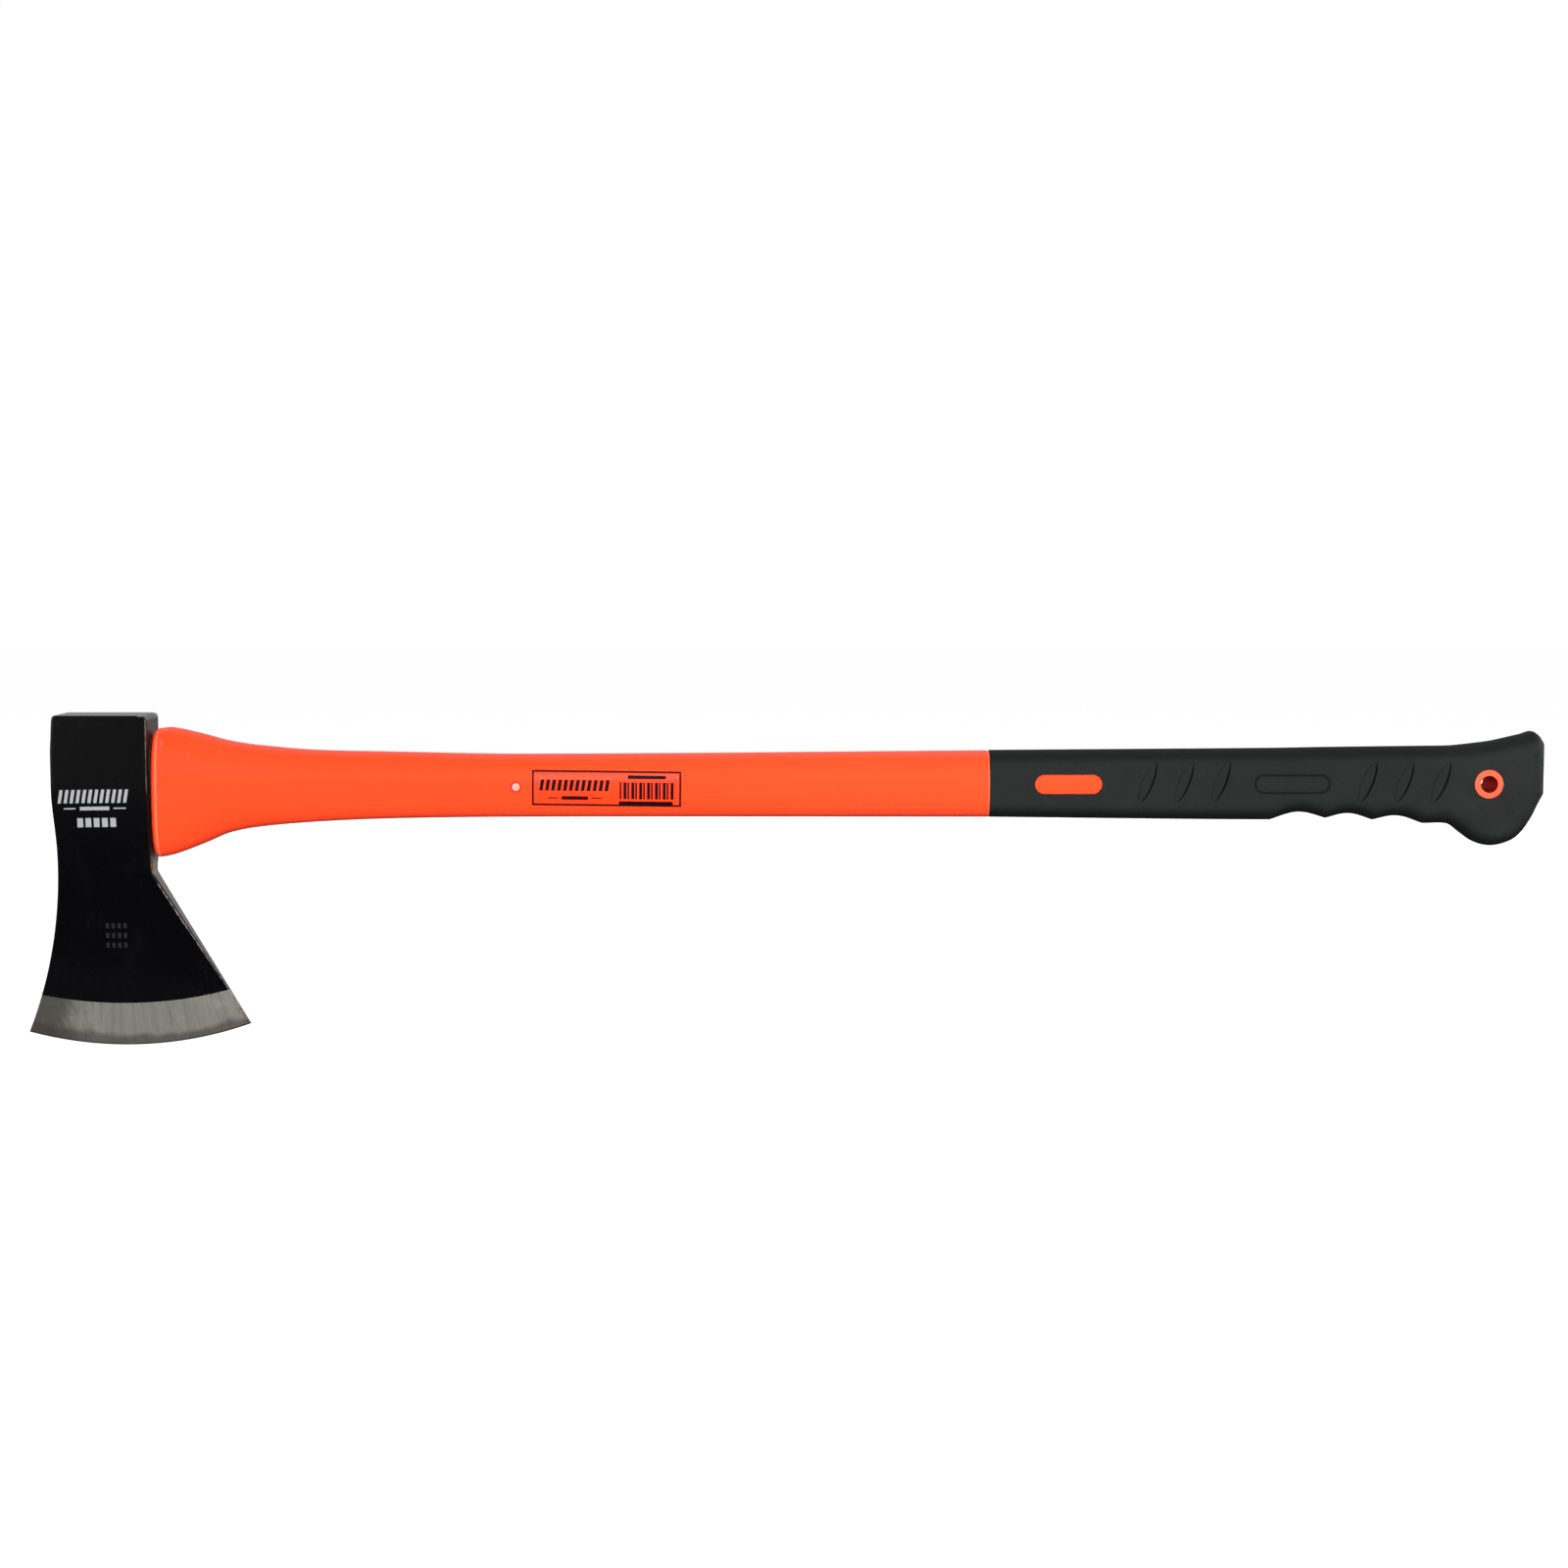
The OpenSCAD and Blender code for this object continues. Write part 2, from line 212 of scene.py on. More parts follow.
class Shell:
    """Collects grids and rings of points, and welds them into one mesh."""

    def __init__(self):
        self.points = []
        self.faces = []
        self.slots = []

    def face(self, corners, slot=0):
        self.faces.append(tuple(int(c) for c in corners))
        self.slots.append(slot)

    def add(self, points):
        start = len(self.points)
        self.points.extend(np.asarray(points, float).reshape(-1, 3))
        return start

    def grid(self, points, slot=0, closed=False):
        """Quads over rows and columns of points. closed joins the last column to the first."""
        rows, columns = points.shape[:2]
        start = self.add(points)
        for r in range(rows - 1):
            for c in range(columns if closed else columns - 1):
                a = start + r * columns
                d = (c + 1) % columns
                self.face((a + c, a + d, a + columns + d, a + columns + c), slot)

    def cap(self, ring, slot=0):
        start = self.add(ring)
        self.face(range(start, start + len(ring)), slot)

    def loft(self, rings):
        """A closed solid through rings of points."""
        rings = np.asarray(rings, float)
        self.grid(rings, closed=True)
        self.cap(rings[0])
        self.cap(rings[-1][::-1])

    def sheet(self, corners, surface, out, back, step=1.5):
        """A thin solid over a four-sided plane area, on the near side of surface(x, z).

        It reaches from out millimetres outside that surface to back millimetres outside it.
        """
        a, b, c, d = np.asarray(corners, float)
        columns = max(1, int(np.ceil(max(np.linalg.norm(b - a), np.linalg.norm(c - d)) / step)))
        rows = max(1, int(np.ceil(max(np.linalg.norm(d - a), np.linalg.norm(c - b)) / step)))
        u = np.linspace(0, 1, columns + 1)[None, :, None]
        v = np.linspace(0, 1, rows + 1)[:, None, None]
        plane = (1 - v) * ((1 - u) * a + u * b) + v * ((1 - u) * d + u * c)
        y = -surface(plane[..., 0], plane[..., 1])
        near = lift(plane, y - out)
        far = lift(plane, y - back)
        self.grid(near)
        self.grid(far)
        for cut in (np.s_[0], np.s_[-1], np.s_[:, 0], np.s_[:, -1]):
            self.grid(np.stack([near[cut], far[cut]]))

    def make(self, name):
        """The object, with shared points welded and faces turned outwards."""
        mesh = bpy.data.meshes.new(name)
        mesh.from_pydata(in_frame(self.points).tolist(), [], self.faces)
        mesh.polygons.foreach_set("material_index", self.slots)
        work = bmesh.new()
        work.from_mesh(mesh)
        bmesh.ops.remove_doubles(work, verts=work.verts, dist=0.004 * MM)
        bmesh.ops.recalc_face_normals(work, faces=work.faces)
        work.to_mesh(mesh)
        work.free()
        return put(name, mesh)


def combine(target, tools, operation):
    """Joins the tools' solids to target's, or cuts them out, and removes the tools."""
    for tool in tools:
        step = target.modifiers.new("combine", "BOOLEAN")
        step.operation = operation
        step.solver = "EXACT"
        step.object = tool
    bpy.context.view_layer.update()
    graph = bpy.context.evaluated_depsgraph_get()
    result = bpy.data.meshes.new_from_object(target.evaluated_get(graph))
    target.modifiers.clear()
    target.data = result
    for tool in tools:
        bpy.data.objects.remove(tool)


def solid(rings):
    shell = Shell()
    shell.loft(rings)
    return shell.make("tool")


def vertices_mm(piece):
    """A piece's vertices in millimetres about the handle axis."""
    flat = np.empty(len(piece.data.vertices) * 3)
    piece.data.vertices.foreach_get("co", flat)
    return flat.reshape(-1, 3) / MM - [0, 0, AXIS_Z]


def mark(piece, **marks):
    """Stores numbers for a material to read, one per vertex under each name."""
    for name, values in marks.items():
        layer = piece.data.attributes.new(name, "FLOAT", "POINT")
        layer.data.foreach_set("value", np.asarray(values, np.float32))


def settle(piece, materials, crease=30, replaces=()):
    """Smooth shading with creases, materials, and the piece's place in the frame."""
    mesh = piece.data
    for m in materials:
        mesh.materials.append(m)
    mesh.polygons.foreach_set("use_smooth", [True] * len(mesh.polygons))
    mesh.set_sharp_from_angle(angle=math.radians(crease))
    work = bmesh.new()
    work.from_mesh(mesh)
    for edge in work.edges:
        if len({f.material_index for f in edge.link_faces}) > 1:
            edge.smooth = False
    work.to_mesh(mesh)
    work.free()
    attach(piece, BODY)
    if replaces:
        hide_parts(*replaces)


# ------------------------------------------------------------------ material nodes


def srgb(red, green, blue):
    """A display colour, 0 to 255, as linear light."""
    parts = np.array([red, green, blue]) / 255
    low = parts / 12.92
    high = ((parts + 0.055) / 1.055) ** 2.4
    return (*np.where(parts <= 0.04045, low, high).tolist(), 1.0)


class Nodes:
    """A node tree under construction. Sizes of its patterns are in millimetres."""

    def __init__(self, tree):
        self.tree = tree

    def node(self, kind, settings=None, **inputs):
        made = self.tree.nodes.new("ShaderNode" + kind)
        for key, value in (settings or {}).items():
            setattr(made, key, value)
        self.fill(made, inputs)
        return made

    def fill(self, made, inputs):
        """Feeds a node's named inputs, with _ for each blank in their names."""
        for key, value in inputs.items():
            self.feed(made.inputs[key.replace("_", " ")], value)

    def feed(self, socket, value):
        if isinstance(value, bpy.types.NodeSocket):
            self.tree.links.new(value, socket)
        else:
            socket.default_value = value

    def place(self, stretch=(1, 1, 1)):
        """The point's place in millimetres, divided by stretch on each axis."""
        where = self.node("TexCoord").outputs["Object"]
        scale = [1 / (MM * s) for s in stretch]
        return self.node("Mapping", Vector=where, Scale=scale).outputs["Vector"]

    def along(self, axis):
        """The point's place on one axis, in millimetres."""
        return self.node("SeparateXYZ", Vector=self.place()).outputs[axis]

    def noise(self, size, detail=3.0, roughness=0.5, stretch=(1, 1, 1), at=None):
        """Cloudy noise, 0 to 1, with features about size millimetres across."""
        where = at if at is not None else self.place(stretch)
        made = self.node(
            "TexNoise", Vector=where, Scale=1 / size, Detail=detail, Roughness=roughness
        )
        return made.outputs["Fac"]

    def read(self, name):
        """A number stored on the mesh by mark()."""
        return self.node("Attribute", {"attribute_name": name}).outputs["Fac"]

    def band(self, value, start, end):
        """0 before start, 1 after end, smooth in between."""
        made = self.node(
            "MapRange",
            {"interpolation_type": "SMOOTHSTEP"},
            Value=value,
            From_Min=start,
            From_Max=end,
        )
        return made.outputs["Result"]

    def times(self, a, b):
        return self.calc("MULTIPLY", a, b)

    def calc(self, operation, a, b):
        made = self.node("Math", {"operation": operation})
        self.feed(made.inputs[0], a)
        self.feed(made.inputs[1], b)
        return made.outputs[0]

    def mix(self, share, a, b):
        """Colour a where share is 0, colour b where it is 1."""
        made = self.node("Mix", {"data_type": "RGBA"})
        self.feed(made.inputs[0], share)
        self.feed(made.inputs[6], a)
        self.feed(made.inputs[7], b)
        return made.outputs[2]

    def blend(self, share, a, b):
        """Number a where share is 0, number b where it is 1."""
        made = self.node("Mix", {"data_type": "FLOAT"})
        self.feed(made.inputs[0], share)
        self.feed(made.inputs[2], a)
        self.feed(made.inputs[3], b)
        return made.outputs[0]

    def bump(self, height, depth):
        """Normals of a relief that is depth millimetres high where height goes from 0 to 1."""
        made = self.node("Bump", Height=height, Distance=depth * MM, Strength=1.0)
        return made.outputs["Normal"]


class Finish(Nodes):
    """A material under construction, whose colour is laid on coat by coat."""

    def __init__(self, name):
        self.material = bpy.data.materials.new(name)
        self.material.use_nodes = True
        super().__init__(self.material.node_tree)
        self.shader = self.tree.nodes["Principled BSDF"]

    def ground(self, first, second, share):
        """The first coat: a display colour that turns into another as share goes to 1."""
        self.colour = self.mix(share, srgb(*first), srgb(*second))

    def paint(self, colour, *shares):
        """Lays on a display colour or a colour socket, as much as the shares' product."""
        coat = srgb(*colour) if isinstance(colour, tuple) else colour
        share = shares[0]
        for other in shares[1:]:
            share = self.times(share, other)
        self.colour = self.mix(share, self.colour, coat)

    def pick_by_ray(self, for_light, for_camera):
        made = self.node("MixShader")
        self.feed(made.inputs[0], self.node("LightPath").outputs["Is Camera Ray"])
        self.feed(made.inputs[1], for_light)
        self.feed(made.inputs[2], for_camera)
        return made.outputs[0]

    def show(self, surface):
        self.feed(self.tree.nodes["Material Output"].inputs["Surface"], surface)

    def done(self, **inputs):
        self.fill(self.shader, {"Base_Color": self.colour, **inputs})
        return self.material


# ------------------------------------------------------------------ head shape

EDGE_R = 196.0
EDGE_X = 9.1
EDGE_Z = HEAD_LOW[2] - AXIS_Z + EDGE_R + 0.02
TOE_X = HEAD_LOW[0]
HEEL_X = HEAD_HIGH[0]
WALL_X0 = -25.3
WALL_X1 = 25.3
POLL_Z = HEAD_HIGH[2] - AXIS_Z
POLL_R = 2.5
POLL_LEAN = 0.9
WAIST = (WALL_X0 + 2.0, -38.0)
THROAT_Z = -45.8
THROAT_R = 3.5
CHEEK_Y = HEAD_HIGH[1] - 0.05
CHEEK_TOP_Z = -8.0
CROWN_R = 1400.0
CHEEK_BLEND = 0.4
BEARD_THIN = 6.7
BEARD_TAPER = 0.075
BEARD_HOLLOW = 0.16
BEARD_FLARE = 0.5
BEARD_FLARE_Z = -47.0
BEARD_BLEND = 1.2
LAND = 0.3
EDGE_DROP = 138.5
BEVEL_T = 9.0
BEVEL_H = 23.6
BEVEL_SLOPE = (BEVEL_T - LAND) / 2 / BEVEL_H
TAPER = math.atan((HEAD_HIGH[1] - BEVEL_T / 2) / (EDGE_DROP - BEVEL_H + CHEEK_TOP_Z))
ARRIS_R = 1.5
ACROSS = 70
CHEEK_ROWS = 180
BEVEL_ROWS = 30
EYE_T = 22.0
EYE_TOP = (0.0, 13.5)
EYE_LOW = (0.0, -25.5)
EYE_NOSE_R = 7.0
RESIN_T = 1.4
STAMP = (1.6, -74.0)
STAMP_W = 1.8
STAMP_H = 2.8
STAMP_PITCH_X = 3.1
STAMP_PITCH_Z = 5.2
STAMP_DEPTH = 0.3
ARRIS_LINE_TURN = 42.0
GLUE = (WALL_X1, -42.5)
GLUE_R = 3.2


def soft_min(a, b, blend):
    """The smaller of two values, rounded where they cross."""
    return (a + b - np.hypot(a - b, blend)) / 2


def plain_cheek_y(x, z):
    """Half thickness of the forged cheek, which is crowned and thins towards the edge."""
    crown = np.sqrt(CROWN_R**2 - (x - EDGE_X) ** 2) - CROWN_R
    over = crown / math.cos(TAPER) + (z - CHEEK_TOP_Z) * math.tan(TAPER)
    return CHEEK_Y + (over - np.hypot(over, CHEEK_BLEND)) / 2


def thinning(x, z):
    """How much of the plain thickness is left by the hollow beside the beard."""
    span_x = HEEL_X - WALL_X1
    span_z = THROAT_Z - edge_point(HEEL_X)[1]
    back = ((WALL_X1 - x) * span_z + (THROAT_Z - z) * span_x) / math.hypot(span_x, span_z)
    above = z - BEARD_FLARE_Z
    flare = BEARD_FLARE * (above + np.hypot(above, 4.0)) / 2
    hollow = BEARD_THIN + BEARD_TAPER * (z - THROAT_Z) + BEARD_HOLLOW * back + flare
    plain = plain_cheek_y(x, z)
    return soft_min(plain, hollow, BEARD_BLEND) / plain


def cheek_y(x, z):
    return plain_cheek_y(x, z) * thinning(x, z)


def from_edge(x, z):
    """Distance in the plane from the cutting edge, positive inside the blade."""
    return EDGE_R - np.hypot(x - EDGE_X, z - EDGE_Z)


def bevel_y(x, z):
    """Half thickness of the ground bevel."""
    return (LAND / 2 + from_edge(x, z) * BEVEL_SLOPE) * thinning(x, z)


def head_y(x, z):
    return np.minimum(cheek_y(x, z), bevel_y(x, z))


def edge_point(x):
    return np.array([x, EDGE_Z - math.sqrt(EDGE_R**2 - (x - EDGE_X) ** 2)])


def edge_angle(point):
    """Where a point on the cutting edge lies round the edge's circle, in degrees."""
    return math.degrees(math.atan2(point[1] - EDGE_Z, point[0] - EDGE_X)) + 360


def toe_side():
    """The outline from the toe up the flare, the waist and the poll's corner."""
    toe = edge_point(TOE_X)
    drop = WAIST[1] - toe[1]
    out = WAIST[0] - toe[0]
    radius = (drop**2 + out**2) / 2 / out
    turn = math.degrees(math.asin(drop / radius))
    flare = arc((WAIST[0] - radius, WAIST[1]), radius, -turn, 0, 80)
    u = np.linspace(0, 1, 41)[1:]
    waist = np.stack([WAIST[0] + (WALL_X0 - WAIST[0]) * ease(u), WAIST[1] * (1 - u)], 1)
    straight = line((WALL_X0, 0), (WALL_X0, POLL_Z / 2), 4)[1:]
    corner = arc((WALL_X0 + POLL_LEAN + POLL_R, POLL_Z - POLL_R), POLL_R, 180, 135, 12)
    return np.concatenate([flare, waist, straight, corner])


def heel_side():
    """The outline from the poll's corner down the wall and the throat to the heel."""
    heel = edge_point(HEEL_X)
    slant = math.degrees(math.atan((HEEL_X - WALL_X1) / (THROAT_Z - heel[1])))
    corner = arc((WALL_X1 - POLL_R, POLL_Z - POLL_R), POLL_R, 45, 0, 12)
    middle = (WALL_X1 + THROAT_R, THROAT_Z + THROAT_R * math.tan(math.radians(slant / 2)))
    throat = arc(middle, THROAT_R, 180, 180 + slant, 12)
    wall = line(corner[-1], throat[0], 60)[1:-1]
    beard = line(throat[-1], heel, 80)[1:]
    return np.concatenate([corner, wall, throat, beard])


def split_at_grind(side):
    """The place along a side, as a fraction of its length, where the grind line meets it."""
    fine = resample(side, np.linspace(0, 1, 2000))
    ground = bevel_y(*fine.T) < cheek_y(*fine.T)
    change = np.flatnonzero(ground[1:] != ground[:-1])[0]
    return change / 1999


def head_outline():
    """The head's outline, anticlockwise from the toe along the edge, and where its parts start."""
    toe_wall = toe_side()
    heel_wall = heel_side()
    low = split_at_grind(toe_wall)
    high = split_at_grind(heel_wall)
    toe, heel = [edge_angle(edge_point(x)) for x in (TOE_X, HEEL_X)]
    edge = arc((EDGE_X, EDGE_Z), EDGE_R, toe, heel, ACROSS)
    poll_arc = np.concatenate([
        arc((WALL_X1 - POLL_R, POLL_Z - POLL_R), POLL_R, 45, 90, 8),
        arc((WALL_X0 + POLL_LEAN + POLL_R, POLL_Z - POLL_R), POLL_R, 90, 135, 8),
    ])
    runs = [
        edge,
        resample(heel_wall[::-1], np.linspace(0, 1 - high, BEVEL_ROWS + 1)),
        resample(heel_wall[::-1], 1 - high + high * np.linspace(0, 1, CHEEK_ROWS + 1)),
        resample(poll_arc, crowded(ACROSS)),
        resample(toe_wall[::-1], (1 - low) * np.linspace(0, 1, CHEEK_ROWS + 1)),
        resample(toe_wall[::-1], 1 - low + low * np.linspace(0, 1, BEVEL_ROWS + 1)),
    ]
    starts = np.cumsum([0] + [len(r) - 1 for r in runs])
    return np.concatenate([r[:-1] for r in runs]), starts


def grind_line(start, end):
    """Where the bevel meets the cheek, between two points already on it."""
    x = np.linspace(start[0], end[0], ACROSS + 1)
    low = EDGE_Z - np.sqrt(EDGE_R**2 - (x - EDGE_X) ** 2)
    high = np.full_like(x, low.min() + 60)
    for _ in range(40):
        z = (low + high) / 2
        ground = bevel_y(x, z) < cheek_y(x, z)
        low = np.where(ground, z, low)
        high = np.where(ground, high, z)
    off = np.interp(x, [x[0], x[-1]], [start[1] - z[0], end[1] - z[-1]])
    return np.stack([x, z + off], 1)


def arris_radius(x, z):
    return np.minimum(ARRIS_R, 0.3 * head_y(x, z))


def head_shell():
    outline, (toe, heel, grind_right, poll_right, poll_left, grind_left, _) = head_outline()
    r = arris_radius(*outline.T)
    inside = outline + r[:, None] * inward(outline)
    y = head_y(*inside.T)
    turn = np.radians(np.linspace(0, 90, 9))
    columns = []
    for a in turn:
        columns.append(lift(inside + (outline - inside) * math.sin(a), r - y - r * math.cos(a)))
    for share in (-0.5, 0, 0.5):
        columns.append(lift(outline, (y - r) * share))
    for c in columns[: len(turn)][::-1]:
        columns.append(c * [1, -1, 1])
    band = np.stack(columns, 1)
    shell = Shell()
    count = len(outline)
    for first, last, slot in (
        (toe, heel, 1),
        (heel, grind_right, 1),
        (grind_right, grind_left, 0),
        (grind_left, count, 1),
    ):
        rows = band[np.arange(first, last + 1) % count]
        on_edge = first == toe
        ends = len(turn)
        shell.grid(rows[:, :ends], slot)
        shell.grid(rows[:, ends - 1 : -ends + 1], slot if on_edge else 0)
        shell.grid(rows[:, -ends:], slot)
    ring = np.concatenate([inside, inside[:1]])
    grind = grind_line(ring[grind_left], ring[grind_right])
    cheek = patch(
        ring[poll_right : poll_left + 1][::-1],
        grind,
        ring[poll_left : grind_left + 1],
        ring[grind_right : poll_right + 1][::-1],
    )
    bevel = patch(
        grind,
        ring[toe : heel + 1],
        ring[grind_left:],
        ring[heel : grind_right + 1][::-1],
    )
    for side in (-1, 1):
        shell.grid(lift(cheek, side * head_y(cheek[..., 0], cheek[..., 1])), 0)
        shell.grid(lift(bevel, side * head_y(bevel[..., 0], bevel[..., 1])), 1)
    return shell, outline


def ovoid(inset=0.0, steps=96):
    """The eye's egg-shaped outline as (y, z) points at even angles, shrunk by inset."""
    top_r = EYE_T / 2 - inset
    low_r = EYE_NOSE_R - inset
    rise = EYE_TOP[1] - EYE_LOW[1]
    lean = math.degrees(math.asin((top_r - low_r) / rise))
    dense = np.concatenate([
        arc(EYE_TOP, top_r, -lean, 180 + lean, 120),
        arc(EYE_LOW, low_r, 180 + lean, 360 - lean, 120),
    ])
    return at_even_angles(dense, steps)


def at_even_angles(dense, steps):
    """A closed outline round the origin, resampled at even angles from it."""
    dense = np.concatenate([dense, dense[:1]])
    fine = resample(dense, np.linspace(0, 1, 4000))
    angle = np.arctan2(fine[:, 1], fine[:, 0])
    order = np.argsort(angle)
    want = np.linspace(-np.pi, np.pi, steps, endpoint=False)
    reach = np.hypot(*fine.T)
    r = np.interp(want, angle[order], reach[order], period=2 * np.pi)
    return np.stack([r * np.cos(want), r * np.sin(want)], 1)


def eye_cutter():
    """The eye, with a chamfered mouth at both ends."""
    mouth = 0.8
    rings = [
        across(ovoid(-2 * mouth), WALL_X0 - mouth),
        across(ovoid(), WALL_X0 + mouth),
        across(ovoid(), WALL_X1 - mouth),
        across(ovoid(-2 * mouth), WALL_X1 + mouth),
    ]
    return solid(rings)


def stamp_cutter():
    """Three rows of small plain marks punched into the near cheek."""
    shell = Shell()
    for row in range(3):
        for column in range(4):
            x = STAMP[0] + STAMP_PITCH_X * column
            z = STAMP[1] - STAMP_PITCH_Z * row
            area = slab(x - STAMP_W / 2, x + STAMP_W / 2, z - STAMP_H / 2, z + STAMP_H / 2)
            shell.sheet(area, cheek_y, 1.0, -STAMP_DEPTH)
    return shell.make("tool")


def arris_wear(x, y, z, below, inset):
    """How far the lacquer is rubbed off the arrises, with a painted highlight along their crests,
    most on the near side by the handle.

    below and inset are the depths under the cheek and inside the rim, in arris radii.
    """
    angle = np.degrees(np.arctan2(1 - inset, 1 - below))
    beard = ease((THROAT_Z - z) / 8)
    crest = 45 - 20 * beard
    on_arris = np.where((below < 1.05) & (inset < 1.05), 1 - np.abs(angle - crest) / ARRIS_LINE_TURN, 0)
    by_handle = np.maximum(0.3 + 0.3 * ease((z + 9) / 6), 0.65 * beard)
    return np.clip(on_arris, 0, 1) * np.where((x > WALL_X1 - 5) & (y < 0), by_handle, 0.25)


def head_piece():
    shell, outline = head_shell()
    piece = shell.make("head")
    for m in (lacquer(), ground_steel()):
        piece.data.materials.append(m)
    combine(piece, [eye_cutter(), stamp_cutter()], "DIFFERENCE")
    closed = np.concatenate([outline, outline[:1]])
    fine = resample(closed, np.linspace(0, 1, 8000))
    x, y, z = vertices_mm(piece).T
    off_rim = distance_to(fine, np.stack([x, z], 1))
    thickness = head_y(x, z)
    r = arris_radius(x, z)
    below = np.clip((thickness - np.abs(y)) / r, 0, 3)
    inset = np.clip(off_rim / r, 0, 3)
    glue = np.exp(-((np.hypot(x - GLUE[0], z - GLUE[1]) / GLUE_R) ** 2))
    mark(
        piece,
        wear=arris_wear(x, y, z, below, inset),
        punched=(y > 0.1 - thickness) & (y < 0) & (off_rim > 5) & (from_edge(x, z) > 30),
        wall=ease((below - 0.8) / 0.7) * (off_rim < 1),
        glue=glue * ease((below - 0.2) / 0.5),
        edge_mm=from_edge(x, z),
        along_mm=EDGE_R * np.arctan2(x - EDGE_X, EDGE_Z - z),
    )
    settle(piece, (), 35, ["axe_head"])


# ------------------------------------------------------------------ handle shape

COLLAR_X = SEAL_HIGH[0]
GRIP_X = GRIP_LOW[0]
BUTT_X = GRIP_HIGH[0]
HOLE = (HANG_HOLE["pos_m"][0] / MM, HANG_HOLE["pos_m"][2] / MM - AXIS_Z)
HOLE_R = HANG_HOLE["dims"]["r_mm"]
BOSS_Y = HANG_HOLE["dims"]["length_mm"] / 2
BOSS_R = 7.55
BORE_DRAFT = 0.9
TONGUE_X = RESIN_LOW[0]
COLLAR_UP = 30.0
COLLAR_DOWN = 38.4
COLLAR_Y = 14.0
SHAFT_UP = 16.0
SHAFT_DOWN = 17.2
SHAFT_Y = 12.0
SQUARENESS = 2.6
RIM_R = 3.0
END_R = 0.9
PIN = (216.9, -0.7)
PIN_R = 2.9
PIN_FLOOR_R = 2.1
PIN_DEPTH = 1.3
WINDOW = (505.5, 0.8)
WINDOW_L = 35.2
WINDOW_H = 10.1
BAR_H = 28.0
BAR_T = 20.0
PAD_Y = 13.25
PAD_RIM_R = 0.6
BOSS_RIM_R = 0.8
CORE_GAP = 0.04
BAR_END_X = HOLE[0] + 12
RING_STEPS = 96

JACKET_LINE = [
    [COLLAR_X, COLLAR_UP - 1, COLLAR_DOWN + 0.4, COLLAR_Y],
    [36, COLLAR_UP, COLLAR_DOWN - 1.3, COLLAR_Y],
    [53, SHAFT_UP + 10.4, SHAFT_DOWN + 13.6, 0.95 * COLLAR_Y],
    [65, SHAFT_UP + 7.2, SHAFT_DOWN + 8.5, 0.92 * COLLAR_Y],
    [80, SHAFT_UP + 4.8, SHAFT_DOWN + 5.4, SHAFT_Y + 0.5],
    [110, SHAFT_UP + 2.2, SHAFT_DOWN + 2.7, SHAFT_Y],
    [150, SHAFT_UP + 1.2, SHAFT_DOWN + 0.9, SHAFT_Y],
    [223, SHAFT_UP, SHAFT_DOWN, SHAFT_Y],
    [GRIP_X, SHAFT_UP + 1.8, SHAFT_DOWN, SHAFT_Y + 1],
]


def superellipse(up, down, half, squareness=SQUARENESS, steps=RING_STEPS):
    """A rounded section as (y, z) points at even angles."""
    a = np.linspace(0, 2 * np.pi, 400, endpoint=False)
    cos, sin = [np.sign(wave) * np.abs(wave) ** (2 / squareness) for wave in (np.cos(a), np.sin(a))]
    section = np.stack([half * cos, (up - down) / 2 + (up + down) / 2 * sin], 1)
    return at_even_angles(section, steps)


def jacket_ring(x, inset=0.0):
    up, down, half = smooth_table(JACKET_LINE, x) - inset
    return across(superellipse(up, down, half), x)


def jacket_y(x, z):
    """Half thickness of the jacket where it is bare."""
    up, down, half = smooth_table(JACKET_LINE, x)
    v = np.abs(z - (up - down) / 2) / ((up + down) / 2)
    return half * (1 - np.minimum(v, 1) ** SQUARENESS) ** (1 / SQUARENESS)


def upright_slot(length, height):
    """A slot-shaped section as (y, z) points at even angles, long way up."""
    return at_even_angles(stadium(length, height, 60)[:, ::-1], RING_STEPS)


def bar_ring(x):
    return across(upright_slot(BAR_H, BAR_T), x)


def pad_rings(outline, half, round_r):
    """Rings for a solid through the handle whose two faces have rounded rims."""
    rings = []
    for side in (-1, 1):
        steps = np.radians(np.linspace(0, 90, 5))[::side]
        for a in steps:
            inset = round_r * (1 - math.cos(a))
            y = side * (half - round_r + round_r * math.sin(a))
            rings.append(lift(outline(inset), y))
    return rings


def window_outline(inset=0.0):
    return stadium(WINDOW_L - 2 * inset, WINDOW_H - 2 * inset) + WINDOW


def boss_outline(inset=0.0):
    return circle(BOSS_R - inset) + HOLE


def bore_cutter(radius, half, lip):
    """A round hole through the handle, chamfered in front, with the mould's draft to the rear."""
    rings = []
    for y, r in (
        (-half - lip, radius + 2 * lip),
        (-half + lip, radius),
        (half + lip, radius - BORE_DRAFT),
    ):
        rings.append(lift(circle(r) + HOLE, y))
    return solid(rings)


